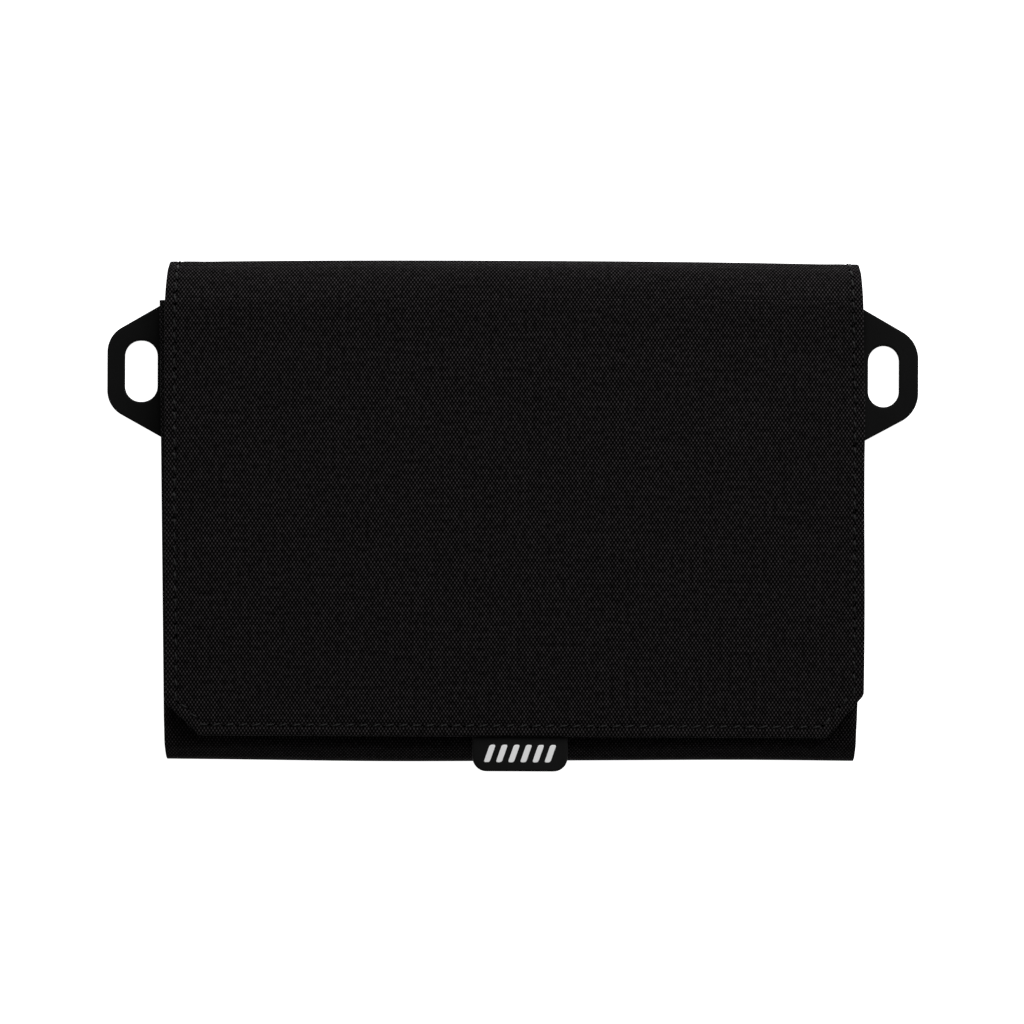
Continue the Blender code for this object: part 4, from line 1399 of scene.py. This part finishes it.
def build_pull_tab():
    """The moulded tab sewn under the flap's edge, with a row of pale grip ribs."""
    low, high = box_mm("pull_tab")
    centre_x = (low[0] + high[0]) / 2 + TAB_CENTRE_SHIFT
    middle_z = (low[2] + high[2]) / 2
    rows = low[1] + TAB_END_RAISE + edge_dense(TAB_ROOT_Y - low[1], 0.3)
    reach = TAB_HALF_WIDTH - corner_inset(rows - rows[0], TAB_RADIUS)
    sides = (centre_x - reach, centre_x + reach)
    tab = flat_moulding("pull_tab_moulding", rows, *sides, 0.5, middle_z, TAB_HALF, "rubber")
    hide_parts("pull_tab")
    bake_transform(tab)

    middle_y = (low[1] + high[1]) / 2 + 0.5
    rows = middle_y - RIB_HALF_HEIGHT + edge_dense(2 * RIB_HALF_HEIGHT, 0.3)
    inset = corner_inset(np.minimum(rows - rows[0], rows[-1] - rows), RIB_CORNER_RADIUS)
    for number in range(RIB_COUNT):
        rib_x = centre_x + (number - (RIB_COUNT - 1) / 2) * RIB_PITCH + (rows - middle_y) * RIB_SLANT
        sides = (rib_x - RIB_WIDTH / 2 + inset, rib_x + RIB_WIDTH / 2 - inset)
        name = f"pull_tab_rib_{number + 1}"
        rib = flat_moulding(name, rows, *sides, 0.3, middle_z + TAB_HALF, RIB_LIFT, "mark")
        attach(rib, "pull_tab")


build_pouch()
build_zip()
build_pockets()
build_closure()
build_strap_loop(-1, "left_strap_loop")
build_strap_loop(1, "right_strap_loop")
build_pull_tab()


# ---------------------------------------------------------------- camera, light and floor


FLOOR_Z = -0.0011  # leaves room for the fold's slack, which hangs below the open flap


def build_stage():
    """A pale floor that stays clear of shadows, a soft dome and a large soft light from behind."""
    bpy.ops.mesh.primitive_plane_add(size=6.0)
    floor = bpy.context.object
    floor.name = "floor"
    floor.location.z = FLOOR_Z
    shader = Shader("floor", 0.9, 0.1)
    shader.set("Base Color", (0.8, 0.8, 0.8, 1.0))
    shader.set("Emission Color", (1.0, 1.0, 1.0, 1.0))
    shader.set("Emission Strength", 1.0)
    floor.data.materials.append(shader.material)

    world = bpy.data.worlds.new("studio")
    bpy.context.scene.world = world
    world.use_nodes = True
    background = world.node_tree.nodes["Background"]
    background.inputs["Color"].default_value = (1.0, 1.0, 1.0, 1.0)
    background.inputs["Strength"].default_value = 0.15

    add_softbox("key_light", (0.3, 0.78, 0.72), 0.85, 15.2)
    add_softbox("fill_light", (-0.8, 0.2, 0.6), 0.5, 0.8)


def add_softbox(name, place, size, power):
    """A square area light that faces the wallet."""
    data = bpy.data.lights.new(name, "AREA")
    data.size = size
    data.energy = power
    light = bpy.data.objects.new(name, data)
    light.location = place
    light.rotation_euler = (-Vector(place)).to_track_quat("-Z", "Y").to_euler()
    bpy.context.scene.collection.objects.link(light)


CAMERA_PLACE = (-0.00006, 0.00083, 0.8)
CAMERA_TURN = 0.25  # degrees about the vertical
CAMERA_LENS = 108.4


def build_camera():
    """Straight above the wallet."""
    data = bpy.data.cameras.new("camera")
    data.lens = CAMERA_LENS
    data.sensor_width = 36.0
    camera = bpy.data.objects.new("camera", data)
    camera.location = CAMERA_PLACE
    camera.rotation_euler = (0.0, 0.0, math.radians(CAMERA_TURN))
    bpy.context.scene.collection.objects.link(camera)
    bpy.context.scene.camera = camera


build_stage()
build_camera()
bpy.context.scene.view_settings.view_transform = "Standard"

SLOT_MATERIALS = {
    "stiffener_board": "board",
    "moulded_plastic": "moulded",
    "label_rubber": "rubber",
    "zip_metal": "metal",
}
node_slots = {part["node"]: part["material_slot"] for part in frame["record"]["subparts"]}
for cad_name, cad_node in frame["nodes"].items():
    if not cad_node.hide_render:
        cad_node.data.materials.clear()
        cad_node.data.materials.append(MATERIALS[SLOT_MATERIALS[node_slots[cad_name]]])
